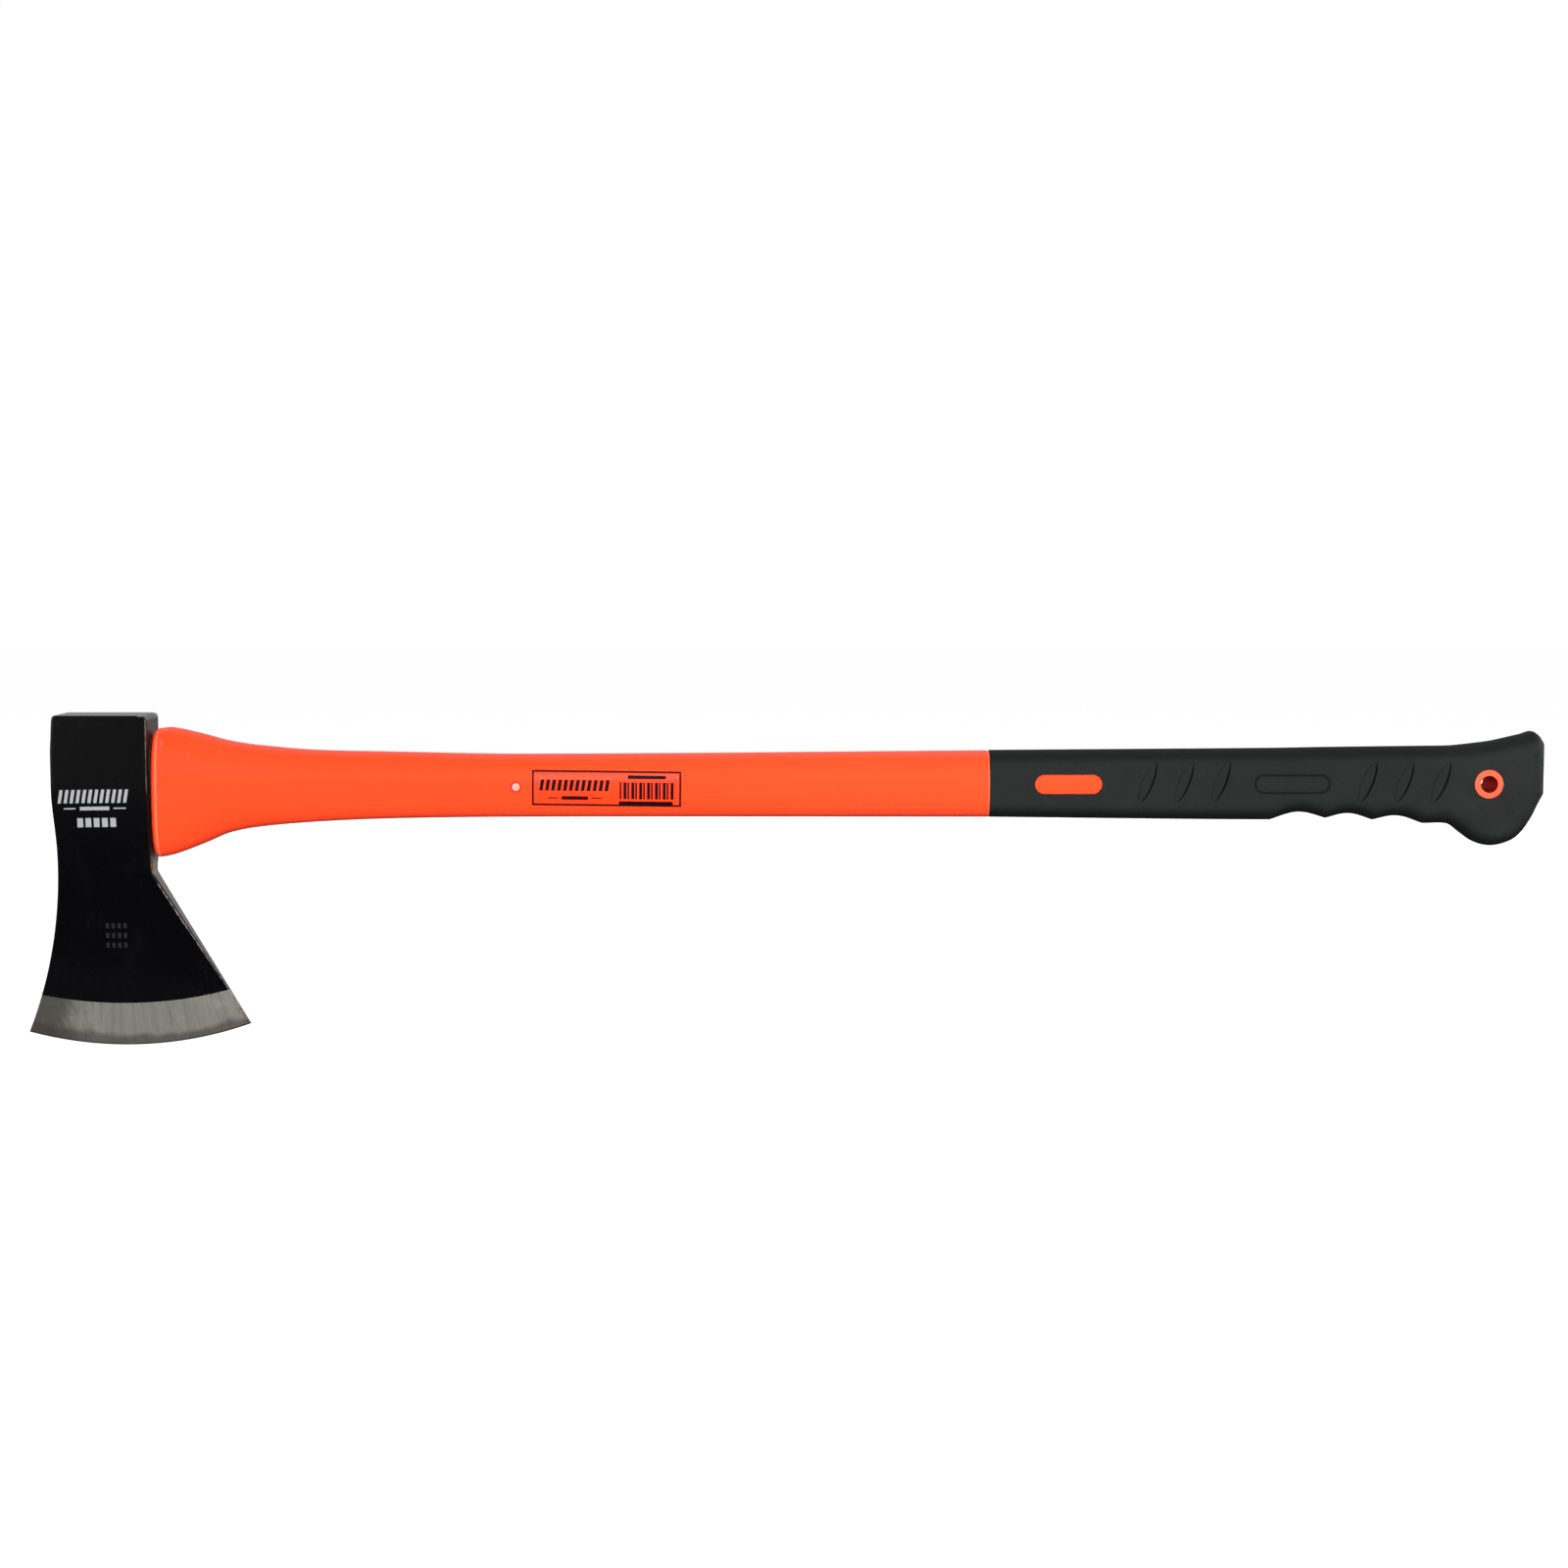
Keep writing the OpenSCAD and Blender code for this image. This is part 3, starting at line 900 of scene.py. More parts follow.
def jacket_piece():
    rings = [across(ovoid(RESIN_T + 0.5, RING_STEPS), TONGUE_X)]
    rings.append(across(ovoid(RESIN_T, RING_STEPS), TONGUE_X + 0.5))
    rings.append(across(ovoid(RESIN_T, RING_STEPS), COLLAR_X))
    rings.append(jacket_ring(COLLAR_X, RIM_R))
    for a in np.radians(np.arange(15, 91, 15)):
        rings.append(jacket_ring(COLLAR_X + RIM_R * (1 - math.cos(a)), RIM_R * (1 - math.sin(a))))
    for x in np.concatenate([np.arange(31, 121, 2.0), np.arange(124, GRIP_X - 5, 4.0)]):
        rings.append(jacket_ring(x))
    # The end is rounded over towards the rubber, then steps down to the bar under it.
    for a in np.radians(np.arange(0, 91, 15)):
        rings.append(jacket_ring(GRIP_X - 0.1 - END_R * (1 - math.sin(a)), END_R * (1 - math.cos(a))))
    rings.append(bar_ring(GRIP_X + 0.4))
    rings.append(bar_ring(BAR_END_X))
    shell = Shell()
    shell.loft(rings)
    piece = shell.make("jacket")
    pad = solid(pad_rings(window_outline, PAD_Y, PAD_RIM_R))
    boss = solid(pad_rings(boss_outline, BOSS_Y, BOSS_RIM_R))
    combine(piece, [pad, boss], "UNION")
    core = upright_slot(*((CORE_HIGH - CORE_LOW)[[2, 1]] + CORE_GAP))
    cavity = solid([across(core, TONGUE_X - 1), across(core, CORE_HIGH[0])])
    half = jacket_y(*PIN)
    marks = []
    for side in (-1, 1):
        profile = [
            (half + 0.5, PIN_R + 0.35),
            (half - 0.4, PIN_R - 0.1),
            (half - PIN_DEPTH, PIN_FLOOR_R),
            (half - PIN_DEPTH + 0.1, PIN_FLOOR_R - 0.2),
        ]
        marks.append(solid([lift(circle(r, 48) + PIN, side * y) for y, r in profile[::side]]))
    combine(piece, [cavity, *marks, bore_cutter(HOLE_R, BOSS_Y, 0.2)], "DIFFERENCE")
    x, y, z = vertices_mm(piece).T
    off_hole = np.hypot(x - HOLE[0], z - HOLE[1])
    in_bore = off_hole < HOLE_R + 0.05
    off_pin = np.hypot(x - PIN[0], z - PIN[1])
    in_pin = (off_pin < PIN_R) & (np.abs(y) < half - 0.3)
    mark(
        piece,
        # Painted shade: the hang hole's bore and the pin recesses are darkened in the material.
        deep=(in_bore & (y > 0.1 - BOSS_Y)) + 0.45 * in_pin,
        pale=in_pin & (off_pin < PIN_FLOOR_R - 0.1),
        # Painted highlight: lighter orange on the face of the boss round the hang hole.
        ring=ease(1 + BOSS_R - off_hole),
    )
    settle(piece, [orange_plastic()], 35, ["handle_jacket"])


# ------------------------------------------------------------------ grip shape

GRIP_Y = 13.5
BUTT_Y = 14.5
HOOK_DROP = 32.3
HORN_RISE = 28.0
CRESTS = [612, 641.6, 666.3, 692.6]
GROOVES = [3.6, 2.7, 3.0]
ROUNDING = 9.5
LIP_R = 0.35
LEAF_TOP = 12.7
LEAF_LOW = -9.0
LEAF_SWEEP = 9.7
LEAF_WIDTH = 7.0
LEAF_DEPTH = 1.0
LEAF_PITCH = 19.1
LEAF_TIPS = [start + LEAF_PITCH * i for start in (551.8, 666.6) for i in range(3)]
BADGE = (622.2, 0.9)
BADGE_L = 38.7
BADGE_H = 9.1
BADGE_RELIEF = 0.35
BADGE_GROOVE = 0.5
BADGE_PITCH = 4.6
BADGE_SLANT = 0.45
SLIT = 0.05
TOOL_Y = 16.0

GRIP_LINE = [
    [GRIP_X, SHAFT_UP + 2, SHAFT_DOWN + 0.1, GRIP_Y],
    [CRESTS[0], 19.1, 18.7, GRIP_Y],
    [CRESTS[1], 19.6, 17.8, GRIP_Y],
    [CRESTS[2], 19.9, 18.7, GRIP_Y],
    [CRESTS[3], 20.2, 20.5, GRIP_Y],
    [BUTT_X - 50, 20.4, 20.8, BUTT_Y - 0.4],
    [BUTT_X - 44, 20.9, 25, BUTT_Y],
    [BUTT_X - 37, 21.7, HOOK_DROP - 2.4, BUTT_Y],
    [BUTT_X - 28, 22.9, HOOK_DROP, BUTT_Y],
    [BUTT_X - 18, 25.1, HOOK_DROP - 2.2, BUTT_Y],
    [BUTT_X - 12, HORN_RISE - 1.5, HOOK_DROP - 6.6, BUTT_Y],
    [BUTT_X - 6.5, HORN_RISE, HOOK_DROP - 14.5, BUTT_Y],
    [BUTT_X - 2.6, HORN_RISE - 2.4, HOOK_DROP - 22.5, BUTT_Y],
    [BUTT_X, HORN_RISE - 6.5, HOOK_DROP - 27.5, BUTT_Y],
]


def grip_limits(x):
    """The grip's top, bottom and half thickness at places along the handle."""
    up, down, half = smooth_table(GRIP_LINE, x)
    for start, end, depth in zip(CRESTS[:-1], CRESTS[1:], GROOVES):
        u = np.clip((x - start) / (end - start), 0, 1)
        down = down - depth * np.sin(np.pi * u) ** 1.2
    return up, -down, half


def leaf_sweep(z):
    """How far the leaf recesses' steep sides lie behind their top tips at a height z."""
    w = np.clip((LEAF_TOP - z) / (LEAF_TOP - LEAF_LOW), 0, 1)
    return -LEAF_SWEEP * (0.5 * w**2 + 0.5 * (1 - np.sqrt(1 - w**2)))


def leaf_depth(x, z):
    """Depth of the leaf recesses, which ramp down to a steep side and run out at the tips."""
    w = np.clip((LEAF_TOP - z) / (LEAF_TOP - LEAF_LOW), 0, 1)
    width = LEAF_WIDTH * np.maximum(np.sin(np.pi * w), 1e-4) ** 0.55
    depth = np.zeros_like(x)
    for tip in LEAF_TIPS:
        back = tip + leaf_sweep(z) - x
        t = 1 - back / width
        inside = (back > 0.05) & (t > 0)
        ends = ease(np.minimum(w, 1 - w) / 0.04)
        ramp = 0.4 * ease(t / 0.12) + 0.6 * np.clip(t, 0, 1) ** 1.3
        depth = np.where(inside, LEAF_DEPTH * ramp * ends, depth)
    return depth


def to_stadium(x, z, centre, length, height):
    """Distance outside a slot outline, negative inside."""
    reach = (length - height) / 2
    along = np.maximum(np.abs(x - centre[0]) - reach, 0)
    return np.hypot(along, z - centre[1]) - height / 2


def badge_depth(x, z):
    """A grooved slot outline round a plain pattern of raised slanted bars."""
    off = to_stadium(x, z, BADGE, BADGE_L, BADGE_H)
    groove = 0.6 * np.exp(-((off / BADGE_GROOVE) ** 2))
    phase = (x - BADGE[0] - BADGE_SLANT * (z - BADGE[1])) / BADGE_PITCH
    bars = ease(2.6 * (0.5 - np.abs(phase - np.round(phase))) - 0.15)
    inside = ease((-off - 1.3) / 0.5) * (np.abs(x - BADGE[0]) < 14.5)
    return groove - BADGE_RELIEF * bars * inside


def lip_inset(x):
    """How far the grip's rounded front edge draws the surface in."""
    u = 1 - np.clip((x - GRIP_X) / LIP_R, 0, 1)
    return LIP_R * (1 - np.sqrt(1 - u**2))


def grip_stations():
    """Places along the top of the grip, closer together where there is relief."""
    lips = GRIP_X + LIP_R * (1 - np.cos(np.radians(np.arange(0, 91, 18))))
    plain = np.arange(GRIP_X + 1, BUTT_X - 9, 1.2)
    end = BUTT_X - 8 * (1 - np.sin(np.radians(np.linspace(0, 90, 15))))
    leaves = [tip - np.array([*np.arange(0.5, 7.6, 0.5), 0.1, 0, -0.3]) for tip in LEAF_TIPS]
    badge = np.arange(BADGE[0] - BADGE_L / 2 - 2, BADGE[0] + BADGE_L / 2 + 2, 0.35)
    x = np.sort(np.concatenate([lips, plain, end, badge, *leaves]))
    fine = np.concatenate([lips, end, *leaves])
    keep = [x[0]]
    for here in x[1:]:
        special = np.abs(fine - here).min() < 1e-9
        if here - keep[-1] > (0.04 if special else 0.2):
            keep.append(here)
    return np.array(keep)


def grip_grid():
    """Plane points in rows from the bottom of the grip to its top, one row per station.

    The rows lean with the leaf recesses where there are some, so that the recesses'
    steep sides run along rows.
    """
    x = grip_stations()
    lean = np.zeros_like(x)
    for first, last in ((LEAF_TIPS[0], LEAF_TIPS[2]), (LEAF_TIPS[3], LEAF_TIPS[5])):
        lean += ease((x - first + 36) / 24) * ease((last + 27 - x) / 24)
    low_x = x + lean * leaf_sweep(LEAF_LOW - 0.5)
    top = grip_limits(x)[0]
    bottom = grip_limits(low_x)[1]
    inset = lip_inset(x)
    top = top - inset
    bottom = bottom + inset
    high = np.minimum(LEAF_TOP + 0.5, top - 4)
    low = np.maximum(LEAF_LOW - 0.5, bottom + 4)
    turn = np.radians(np.linspace(0, 90, 13))
    rows = []
    for t in 1 - np.cos(turn):
        rows.append(np.stack([low_x, bottom + (low - bottom) * t], 1))
    for t in np.linspace(0, 1, 64)[1:-1]:
        z = low + (high - low) * t
        rows.append(np.stack([x + lean * leaf_sweep(z), z], 1))
    for t in np.sin(turn):
        rows.append(np.stack([x, high + (top - high) * t], 1))
    return np.stack(rows, 1)


def grip_outline():
    """The grip's side view from its front over the top, round the butt and back."""
    x = np.unique(np.concatenate([
        np.arange(GRIP_X - 20, BUTT_X - 10, 0.05),
        BUTT_X - 10 * (1 - np.sin(np.linspace(0, np.pi / 2, 200))),
    ]))
    top, bottom, _ = grip_limits(x)
    end = line((BUTT_X, top[-1]), (BUTT_X, bottom[-1]), 500)
    return np.concatenate([np.stack([x, top], 1), end, np.stack([x, bottom], 1)[::-1]])


def grip_y(plane):
    """Half thickness of the grip at plane points."""
    x, z = plane[..., 0], plane[..., 1]
    top, bottom, half = grip_limits(x)
    off_rim = distance_to(grip_outline(), plane)
    off_rim = np.where(off_rim < 0.03, 0, off_rim)
    inset = lip_inset(x)
    u = 1 - np.clip((off_rim - inset) / ROUNDING, 0, 1)
    crown = 0.35 * (2 * (z - bottom) / (top - bottom) - 1) ** 2
    relief = leaf_depth(x, z) + badge_depth(x, z)
    return (half - inset - crown - relief) * np.sqrt(1 - u**2)


def grip_piece():
    plane = grip_grid()
    y = grip_y(plane)
    y[:, 0] = 0
    y[:, -1] = 0
    y[-1] = 0
    shell = Shell()
    for side in (-1, 1):
        shell.grid(lift(plane, side * y))
    front = np.concatenate([lift(plane[0], -y[0]), lift(plane[0], y[0])[-2:0:-1]])
    shell.cap(front)
    piece = shell.make("grip")
    cavity = solid([bar_ring(GRIP_X - 1), bar_ring(BAR_END_X + 0.02)])
    window = solid(pad_rings(lambda inset: window_outline(inset - SLIT), TOOL_Y, 0.1))
    boss = solid(pad_rings(lambda inset: boss_outline(inset - SLIT), TOOL_Y, 0.1))
    combine(piece, [cavity, window, boss], "DIFFERENCE")
    x, _, z = vertices_mm(piece).T
    # Painted shade: dark lines along the leaf recesses' steep sides and faint ones at their far
    # edges, darkening in the badge's groove, and darker bands where the grip rounds over at its top
    # and bottom.
    depth = leaf_depth(x, z) / LEAF_DEPTH
    deep = ease((depth - 0.86) / 0.08) + 0.4 * np.exp(-(((depth - 0.25) / 0.15) ** 2))
    off_badge = to_stadium(x, z, BADGE, BADGE_L, BADGE_H)
    groove = 0.7 * np.exp(-((off_badge / BADGE_GROOVE) ** 2))
    top, bottom, _ = grip_limits(x)
    turned = 0.5 * ease((7.5 - np.minimum(top - z, z - bottom)) / 5)
    mark(piece, cavity=np.clip(np.maximum(deep, np.maximum(groove, turned)), 0, 1))
    settle(piece, [rubber()], 40, ["rubber_grip"])


# ------------------------------------------------------------------ small pieces


def ring_solid(name, section):
    """A closed ring round the eye, from (inset, x) points of its cross-section."""
    rings = [across(ovoid(inset), x) for inset, x in section]
    shell = Shell()
    shell.grid(np.array(rings + rings[:1]), closed=True)
    return shell.make(name)


def resin_piece():
    """The set resin, whose surface climbs a little at both walls."""
    x0, x1 = RESIN_LOW[0], RESIN_HIGH[0]
    section = [(RESIN_T * u, x0 + 0.5 * math.sin(math.pi * u) - 0.4) for u in np.linspace(0, 1, 7)]
    section += [(RESIN_T, x1), (0, x1)]
    piece = ring_solid("eye_resin_set", section)
    settle(piece, [resin()], 40, ["eye_resin"])


def seal_piece():
    x0, x1 = SEAL_LOW[0], SEAL_HIGH[0]
    flange = [(-1.2 + 0.45 * (1 - math.sin(a)), WALL_X1 + 0.6 - 0.55 * math.cos(a))
              for a in np.linspace(0, np.pi, 9)]
    section = [(RESIN_T, x0), (0.05, x0), (0.05, WALL_X1)] + flange + [(RESIN_T, x1)]
    piece = ring_solid("eye_seal_ring", section)
    settle(piece, [seal_rubber()], 40, ["eye_seal"])


def core_finish():
    """The core is the CAD's own solid, with a new material."""
    core = frame["nodes"]["fibreglass_core"]
    core.data.materials.clear()
    core.data.materials.append(fibreglass())


PRINT_T = 0.03
PRINT_BARS = 12
PRINT_PITCH = 3.1
PRINT_TILT = 0.012
BLOCK_PITCH = 4.3


def row(count, start, pitch, share, low, high, slant=0.0):
    """Equal marks side by side, each share of the pitch wide."""
    places = [start + pitch * i for i in range(count)]
    return [(x, x + share * pitch, low, high, slant) for x in places]


def head_print_piece():
    """Plain white marks printed on the near cheek: slanted bars over rules and a row of blocks."""
    marks = row(PRINT_BARS, -21.5, PRINT_PITCH, 0.55, -8.7, -1.7, 1.2)
    marks += [(-18.4, -12.2, -11.9, -11.2), (7.6, 14.0, -11.9, -11.2), (-10.0, 5.4, -12.5, -10.6)]
    marks += row(5, -11.6, BLOCK_PITCH, 3 / BLOCK_PITCH, -21.4, -16.6)
    shell = Shell()
    for shape in marks:
        corners = [(x, z + PRINT_TILT * x) for x, z in slab(*shape)]
        shell.sheet(corners, cheek_y, PRINT_T, -PRINT_T, 3.0)
    piece = shell.make("head_print")
    settle(piece, [white_ink()])


LABEL_AT = (264.4, -1.4)
LABEL_L = LABEL_HIGH[0] - LABEL_LOW[0]
LABEL_H = LABEL_HIGH[2] - LABEL_LOW[2]
LABEL_TURN = math.radians(-0.7)
FILM_GAP = 0.05
FILM_T = 0.15
INK_T = 0.02
RULE = 1.0
MARGIN = 0.3
CODE_PITCH = 2.05


def on_label(corners):
    """Places on the label, from its middle, as places on the handle."""
    c, s = math.cos(LABEL_TURN), math.sin(LABEL_TURN)
    return [(LABEL_AT[0] + c * u - s * v, LABEL_AT[1] + s * u + c * v) for u, v in corners]


def label_marks(l, h):
    """A border, slanted bars over rules, and upright bars between two rules."""
    out_u, out_v = l - MARGIN, h - MARGIN
    in_u, in_v = out_u - RULE, out_v - RULE
    marks = [(-out_u, out_u, in_v, out_v), (-out_u, out_u, -out_v, -in_v)]
    marks += [(-out_u, -in_u, -in_v, in_v), (in_u, out_u, -in_v, in_v)]
    marks += row(PRINT_BARS, -35.2, PRINT_PITCH, 0.6, -1.4, 4.4, 0.9)
    marks += [(-30.5, -25.0, -5.5, -4.9), (-8.0, -2.4, -5.5, -4.9), (-23.4, -9.6, -6.1, -4.2)]
    marks += [(11.0, 31.0, 5.2, 7.0)]
    for i in range(14):
        u = 6.8 + CODE_PITCH * i
        marks += [(u, u + (1.6 if i % 2 else 0.9), -5.4, 3.4)]
    return marks + [(6.4, 34.6, -8.3, -6.6)]


def label_pieces():
    l, h = LABEL_L / 2, LABEL_H / 2
    top = FILM_GAP + FILM_T
    film = Shell()
    film.sheet(on_label(slab(-l, l, -h, h)), jacket_y, top, FILM_GAP)
    settle(film.make("label"), [label_film()], 40, ["label_film"])
    ink = Shell()
    for shape in label_marks(l, h):
        ink.sheet(on_label(slab(*shape)), jacket_y, top + INK_T, top - INK_T, 1.2)
    settle(ink.make("label_print"), [label_ink()])


# ------------------------------------------------------------------ materials


def lacquer():
    """Black lacquer over forged steel, rubbed through to bright metal along some arrises, with a
    painted reflection gradient on the cheeks, painted reflection on the side walls and a painted
    highlight along the arrises.
    """
    f = Finish("black_lacquer")
    height = f.along("Z")
    # Darker towards the cutting edge and lighter towards the poll: a painted reflection gradient on
    # the cheeks.
    f.ground((5, 5, 7), (10, 10, 11), f.band(height, -85, -25))
    f.paint((14, 15, 17), f.band(f.noise(26, 4, 0.6), 0.45, 0.75), 0.4)
    streaks = f.noise(1.4, 4, 0.6, stretch=(1, 1, 14))
    f.paint((30, 30, 32), f.band(streaks, 0.6, 0.8), 0.25)
    dust = f.noise(1.1, 2, 0.5)
    f.paint((64, 64, 64), f.band(dust, 0.74, 0.8), 0.5)
    f.paint((34, 34, 35), f.read("punched"))
    # The scale colours on the side walls are brown and orange mottled tones of painted reflection:
    # the orange handle and the room mirrored in the black lacquer.
    low_wall_reflection = f.mix(f.band(f.noise(3, 3), 0.5, 0.7), srgb(78, 70, 66), srgb(104, 66, 48))
    scale = f.mix(f.band(height, -90, -50), low_wall_reflection, srgb(64, 50, 47))
    scale = f.mix(f.noise(7, 4, 0.65), srgb(28, 23, 23), scale)
    f.paint(scale, f.read("wall"), 0.9)
    f.paint((150, 128, 108), f.read("glue"), f.band(f.noise(4, 4), 0.35, 0.6))
    # Pale metal along the arrises: lacquer rubbed through, and partly a painted highlight along each
    # arris's rounded crest.
    chips = f.noise(4.0, 5, 0.65)
    worn_and_highlit = f.band(f.calc("ADD", f.times(f.read("wear"), 0.75), f.times(chips, 0.6)), 0.62, 0.85)
    f.paint((160, 156, 150), worn_and_highlit)
    rough = f.blend(f.noise(5, 3), 0.16, 0.24)
    relief = f.calc("ADD", f.noise(0.9, 3, 0.5), f.times(f.noise(9, 2), 3.0))
    return f.done(
        Metallic=f.times(worn_and_highlit, 0.6),
        Roughness=f.blend(f.read("wall"), rough, 0.42),
        Specular_IOR_Level=0.22,
        Normal=f.bump(relief, 0.006),
    )


def ground_steel():
    """Steel ground across the bevel, with a dark strip at the very edge and old smears."""
    f = Finish("ground_steel")
    along = f.read("along_mm")
    back = f.read("edge_mm")
    place = f.node("CombineXYZ", X=along, Y=f.times(back, 0.05)).outputs["Vector"]
    lines = f.noise(0.45, 4, 0.65, at=place)
    f.ground((142, 140, 131), (188, 186, 176), lines)
    f.paint((118, 116, 108), f.band(f.noise(3.0, 3, 0.5, at=place), 0.4, 0.7), 0.3)
    f.paint((202, 200, 190), f.band(f.noise(15, 3, 0.5), 0.5, 0.7), 0.4)
    slanted = f.node("CombineXYZ", X=f.calc("ADD", along, f.times(back, 0.7)), Y=f.times(back, 0.3))
    smear = f.noise(9, 3, 0.6, at=slanted.outputs["Vector"])
    f.paint((78, 76, 70), f.band(f.calc("ADD", along, f.times(smear, 30)), -2, -26), 0.8)
    ripple = f.calc("ADD", f.times(f.noise(12, 4, 0.6), 7.0), f.times(f.band(along, -30, 20), 1.6))
    f.paint((76, 74, 68), f.band(f.calc("ADD", back, ripple), 11.6, 7.6), 0.66)
    f.paint((26, 25, 24), f.band(back, 1.0, 0.4), 0.85)
    f.paint((104, 62, 36), f.band(along, 60, 66), f.band(f.noise(1.6, 3, 0.6), 0.5, 0.62), 0.8)
    return f.done(
        Metallic=0.65,
        Roughness=f.blend(lines, 0.38, 0.5),
        Normal=f.bump(lines, 0.02),
    )


def orange_plastic():
    """Satin moulded plastic, with faint flow marks, scuffs and dust near the collar, painted
    highlights on the collar's flash line, the end by the grip and the hang-hole boss, and painted
    shade in the bore and pin recesses.
    """
    f = Finish("orange_plastic")
    x = f.along("X")
    flow = f.noise(30, 3, 0.5, stretch=(4, 1, 1))
    f.ground((255, 66, 30), (255, 74, 37), flow)
    smears = f.band(f.noise(5, 4, 0.65, stretch=(1, 1, 2.2)), 0.62, 0.74)
    f.paint((255, 190, 165), smears, f.band(x, 70, 30), 0.22)
    scuffs = f.band(f.noise(1.6, 3, 0.6, stretch=(3, 1, 1)), 0.7, 0.8)
    f.paint((255, 180, 150), scuffs, 0.12)
    f.paint((150, 60, 40), f.band(f.noise(0.9, 2), 0.76, 0.82), 0.3)
    # A pale band along the collar's moulding flash line: painted highlight.
    flash_highlight = [f.band(x, COLLAR_X + 2.0, COLLAR_X + 2.6), f.band(x, COLLAR_X + 3.6, COLLAR_X + 3.0)]
    f.paint((255, 170, 140), *flash_highlight, 0.3)
    # A pale band where the jacket's end rounds over by the rubber: painted highlight.
    end = [f.band(x, GRIP_X - 1.1, GRIP_X - 0.7), f.band(x, GRIP_X + 0.4, GRIP_X + 0.1)]
    f.paint((255, 170, 140), *end, 0.4)
    f.paint((255, 88, 48), f.band(x, 120, 500), 0.3)
    # Lighter orange on the boss round the hang hole: painted highlight.
    f.paint((255, 140, 108), f.read("ring"), 0.3)
    # Dark red in the bore and the pin recesses: painted shade.
    f.paint((150, 18, 12), f.read("deep"))
    pale = f.mix(f.noise(1.0, 3, 0.6), srgb(190, 120, 106), srgb(226, 186, 176))
    f.paint(pale, f.read("pale"))
    relief = f.calc("ADD", f.noise(0.5, 2), f.times(f.noise(11, 2), 4.0))
    return f.done(
        Roughness=f.blend(f.read("deep"), f.blend(flow, 0.36, 0.44), 0.8),
        Specular_IOR_Level=0.2,
        Subsurface_Weight=0.08,
        Subsurface_Scale=2 * MM,
        Normal=f.bump(relief, 0.012),
    )


def rubber():
    """Matt moulded rubber with a fine grain and a greyer bloom towards the butt."""
    f = Finish("grip_rubber")
    cloud = f.noise(16, 4, 0.6)
    f.ground((33, 34, 34), (40, 41, 41), cloud)
    bloom = f.band(f.noise(22, 4, 0.6), 0.35, 0.7)
    f.paint((50, 51, 51), f.band(f.along("X"), 640, 750), bloom, 0.4)
    grain = f.noise(0.35, 2)
    f.paint((56, 57, 58), f.band(grain, 0.5, 0.75), 0.2)
    f.paint((120, 120, 115), f.band(f.noise(1.3, 2), 0.77, 0.8), 0.5)
    # Painted shade from the cavity mark: the leaf recess lines, the badge groove and the rounded top
    # and bottom edges.
    f.paint((6, 6, 6), f.read("cavity"), 0.95)
    return f.done(
        Roughness=f.blend(cloud, 0.55, 0.68),
        Specular_IOR_Level=0.03,
        Normal=f.bump(grain, 0.03),
    )


def mottled(name, first, second, rough, relief=0.0, **pattern):
    """A simple finish that wanders between two colours, with a relief that follows them."""
    f = Finish(name)
    share = f.noise(**pattern)
    f.ground(first, second, share)
    if relief:
        f.fill(f.shader, {"Normal": f.bump(share, relief)})
    return f.done(Roughness=rough)


def resin():
    return mottled("resin", (46, 38, 30), (84, 68, 52), 0.22, 0.1, size=2.5)


def seal_rubber():
    return mottled("seal_rubber", (22, 21, 21), (38, 36, 35), 0.6, 0.03, size=0.6)


def label_ink():
    return mottled("label_ink", (20, 4, 10), (36, 6, 14), 0.4, size=0.7)


def fibreglass():
    """Pultruded rod: pale resin full of glass strands that run along the handle."""
    strands = {"size": 0.35, "roughness": 0.6, "stretch": (60, 1, 1)}
    return mottled("fibreglass", (232, 220, 206), (252, 244, 234), 0.45, 0.05, **strands)


def white_ink():
    """Screen-printed white ink, slightly uneven."""
    f = Finish("white_ink")
    f.ground((122, 126, 131), (150, 153, 157), f.band(f.noise(0.8, 4, 0.7), 0.25, 0.45))
    return f.done(Roughness=0.5)


def label_film():
    """A thin film, in the colour of the orange that shows through it."""
    f = Finish("label_film")
    cloud = f.noise(12, 3)
    f.ground((248, 60, 26), (253, 68, 32), cloud)
    return f.done(Roughness=f.blend(cloud, 0.28, 0.36))


# ------------------------------------------------------------------ stage

VIEW_X = 357.0
VIEW_Z = 123.7
VIEW_D = 1515.0
VIEW_WIDTH = 824.8
SENSOR = 36.0
FLOOR_GLOW = 0.985
FLOOR_FAR = srgb(110, 110, 110)
FLOOR_NEAR = srgb(14, 14, 14)
FLOOR_AREA = slab(-6000, 7000, -4000, 6000)
FLOOR_DROP = 0.05
ROOM_FRONT = 0.02
ROOM_BACK = 0.06
ROOM_BACK_GLOSS = 1.05


def aim(thing, place, target):
    thing.location = in_frame(place)
    way = Vector(in_frame(target)) - thing.location
    thing.rotation_euler = way.to_track_quat("-Z", "Y").to_euler()


def camera():
    data = bpy.data.cameras.new("camera")
    made = put("camera", data)
    aim(made, (VIEW_X, -VIEW_D, VIEW_Z), (VIEW_X, 0, 0))
    data.sensor_width = SENSOR
    data.lens = SENSOR * math.hypot(VIEW_D, VIEW_Z) / VIEW_WIDTH
    data.clip_end = 100
    bpy.context.scene.camera = made


def lamp(name, place, target, width, height, watts, in_reflections=True):
    data = bpy.data.lights.new(name, "AREA")
    data.shape = "RECTANGLE"
    data.size = width * MM
    data.size_y = height * MM
    data.energy = watts
    made = put(name, data)
    made.visible_camera = False
    made.visible_glossy = in_reflections
    aim(made, place, target)


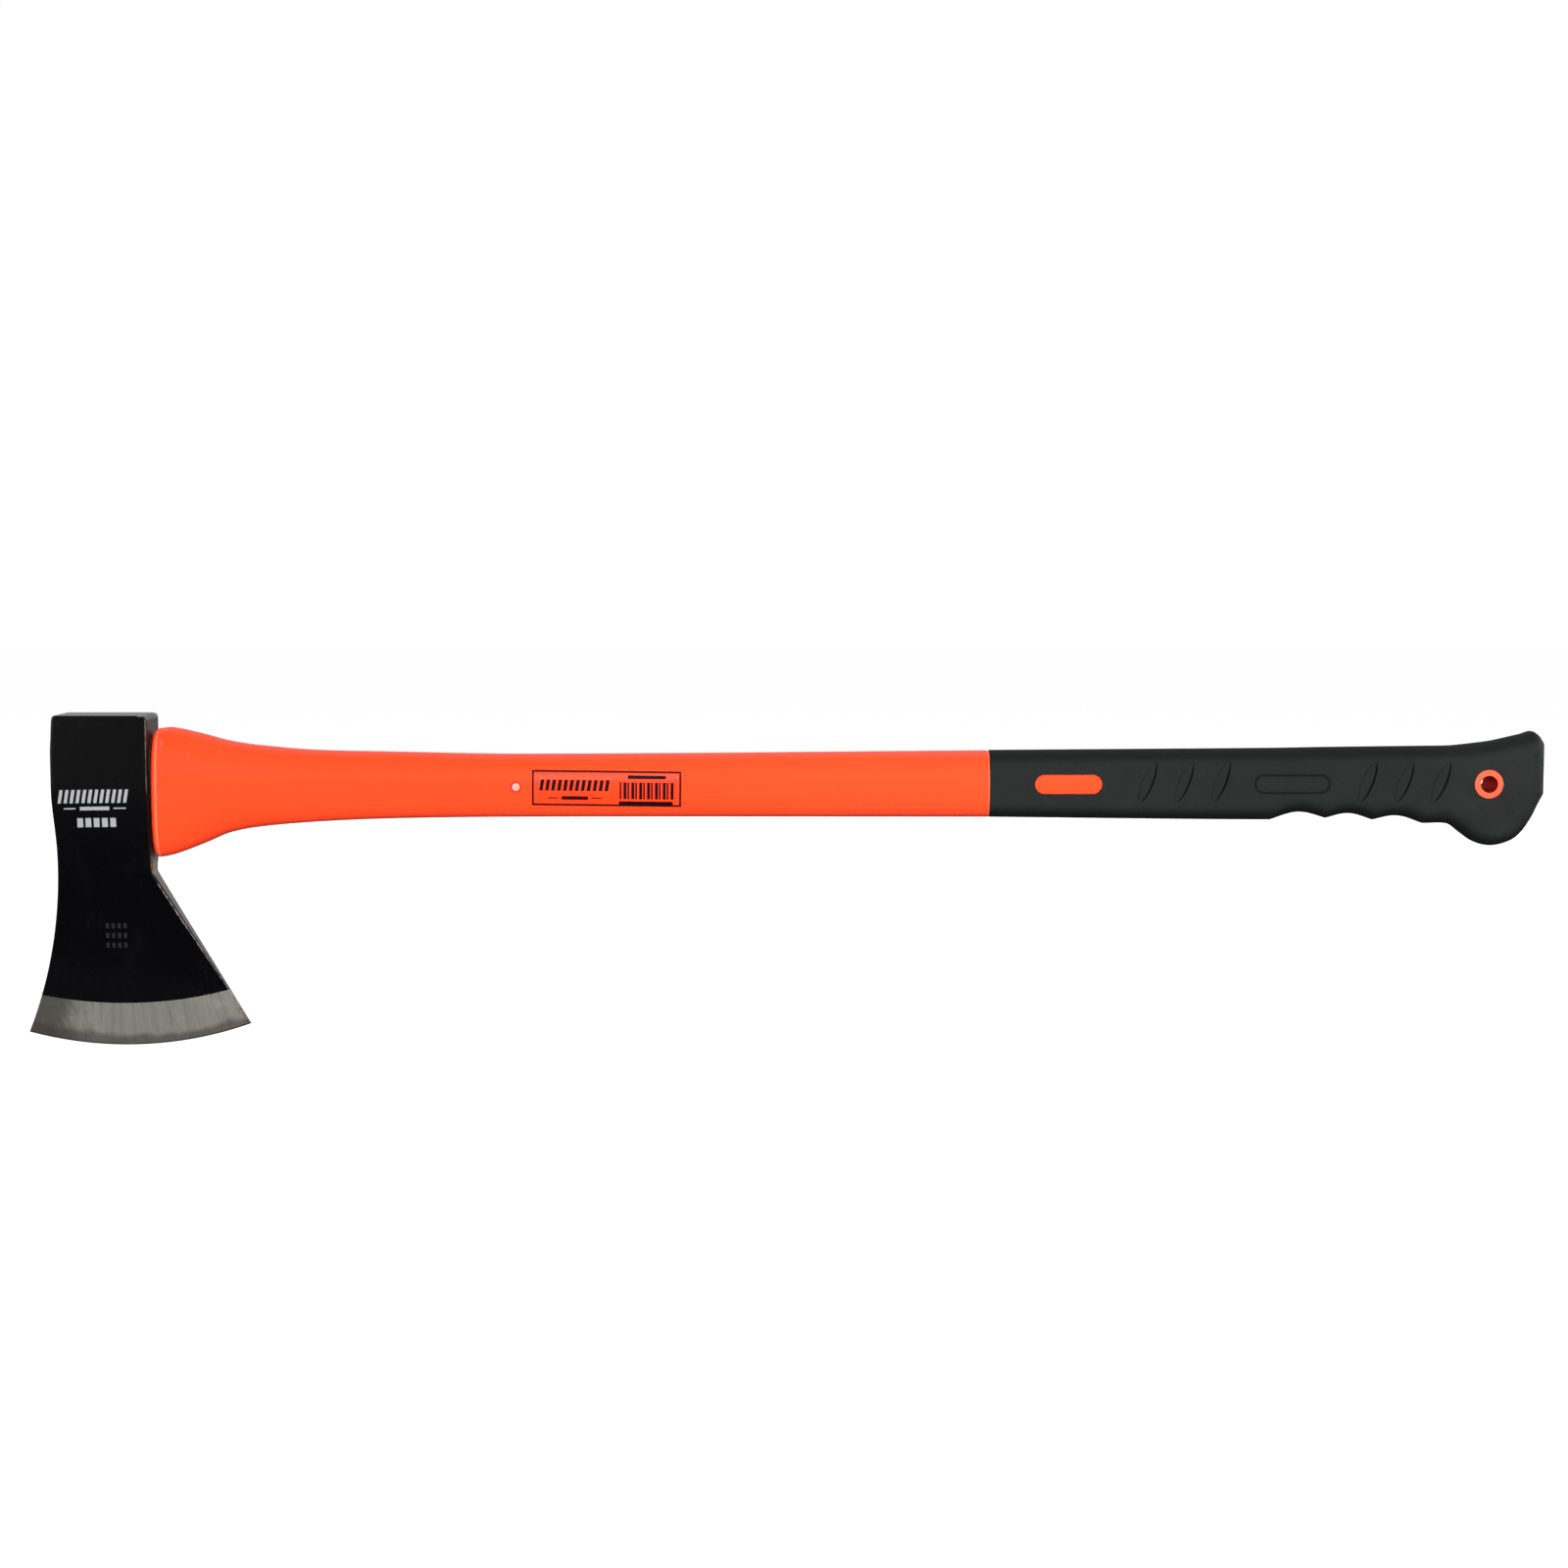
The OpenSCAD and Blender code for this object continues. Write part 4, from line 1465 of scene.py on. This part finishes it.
def stage():
    """A pale floor under the axe, close to pure white to the camera.

    Reflections and bounced light see a darker floor, darkest on the camera's side.
    """
    low = HEAD_LOW[2] - AXIS_Z
    shell = Shell()
    shell.face(range(4))
    shell.add([(x, y, low - FLOOR_DROP) for x, y in FLOOR_AREA])
    floor = shell.make("floor")
    f = Finish("floor")
    tone = f.mix(f.band(f.along("Y"), -20, -200), FLOOR_FAR, FLOOR_NEAR)
    for_light = f.node("BsdfDiffuse", Color=tone).outputs[0]
    white = f.node("Emission", Strength=FLOOR_GLOW).outputs[0]
    shade = f.node("BsdfDiffuse", Color=(0.15, 0.15, 0.15, 1)).outputs[0]
    for_camera = f.node("AddShader")
    f.feed(for_camera.inputs[0], white)
    f.feed(for_camera.inputs[1], shade)
    f.show(f.pick_by_ray(for_light, for_camera.outputs[0]))
    floor.data.materials.append(f.material)


def room():
    """A room that is white to the camera, and for the rest dark in front and brighter behind."""
    world = bpy.data.worlds.new("room")
    bpy.context.scene.world = world
    world.use_nodes = True
    f = Nodes(world.node_tree)
    way = f.node("SeparateXYZ", Vector=f.node("TexCoord").outputs["Generated"]).outputs["Y"]
    ray = f.node("LightPath").outputs
    back = f.blend(ray["Is Glossy Ray"], ROOM_BACK, ROOM_BACK_GLOSS)
    shaded = f.blend(f.band(way, -0.5, 0.6), ROOM_FRONT, back)
    seen = f.blend(ray["Is Camera Ray"], shaded, 1.02)
    plain = f.tree.nodes["Background"]
    f.feed(plain.inputs["Color"], (1, 1, 1, 1))
    f.feed(plain.inputs["Strength"], seen)


def lights():
    middle = (VIEW_X, 0, -30)
    lamp("front", (VIEW_X, -1900, 260), middle, 1500, 500, 60, False)
    lamp("back", (VIEW_X, 1900, 250), middle, 1500, 500, 55, False)
    lamp("nose", (-700, 450, 120), (0, 0, -50), 400, 400, 3)
    lamp("butt", (1350, 250, 160), (BUTT_X, 0, 0), 300, 300, 3)
    lamp("left", (-1000, -1700, 260), middle, 800, 800, 6)
    lamp("right", (1750, -1700, 260), middle, 800, 800, 6)
    lamp("above", (VIEW_X, 500, 1500), middle, 2000, 600, 7)


head_piece()
resin_piece()
seal_piece()
head_print_piece()
jacket_piece()
grip_piece()
label_pieces()
core_finish()
stage()
room()
lights()
camera()
bpy.context.scene.view_settings.view_transform = "Standard"
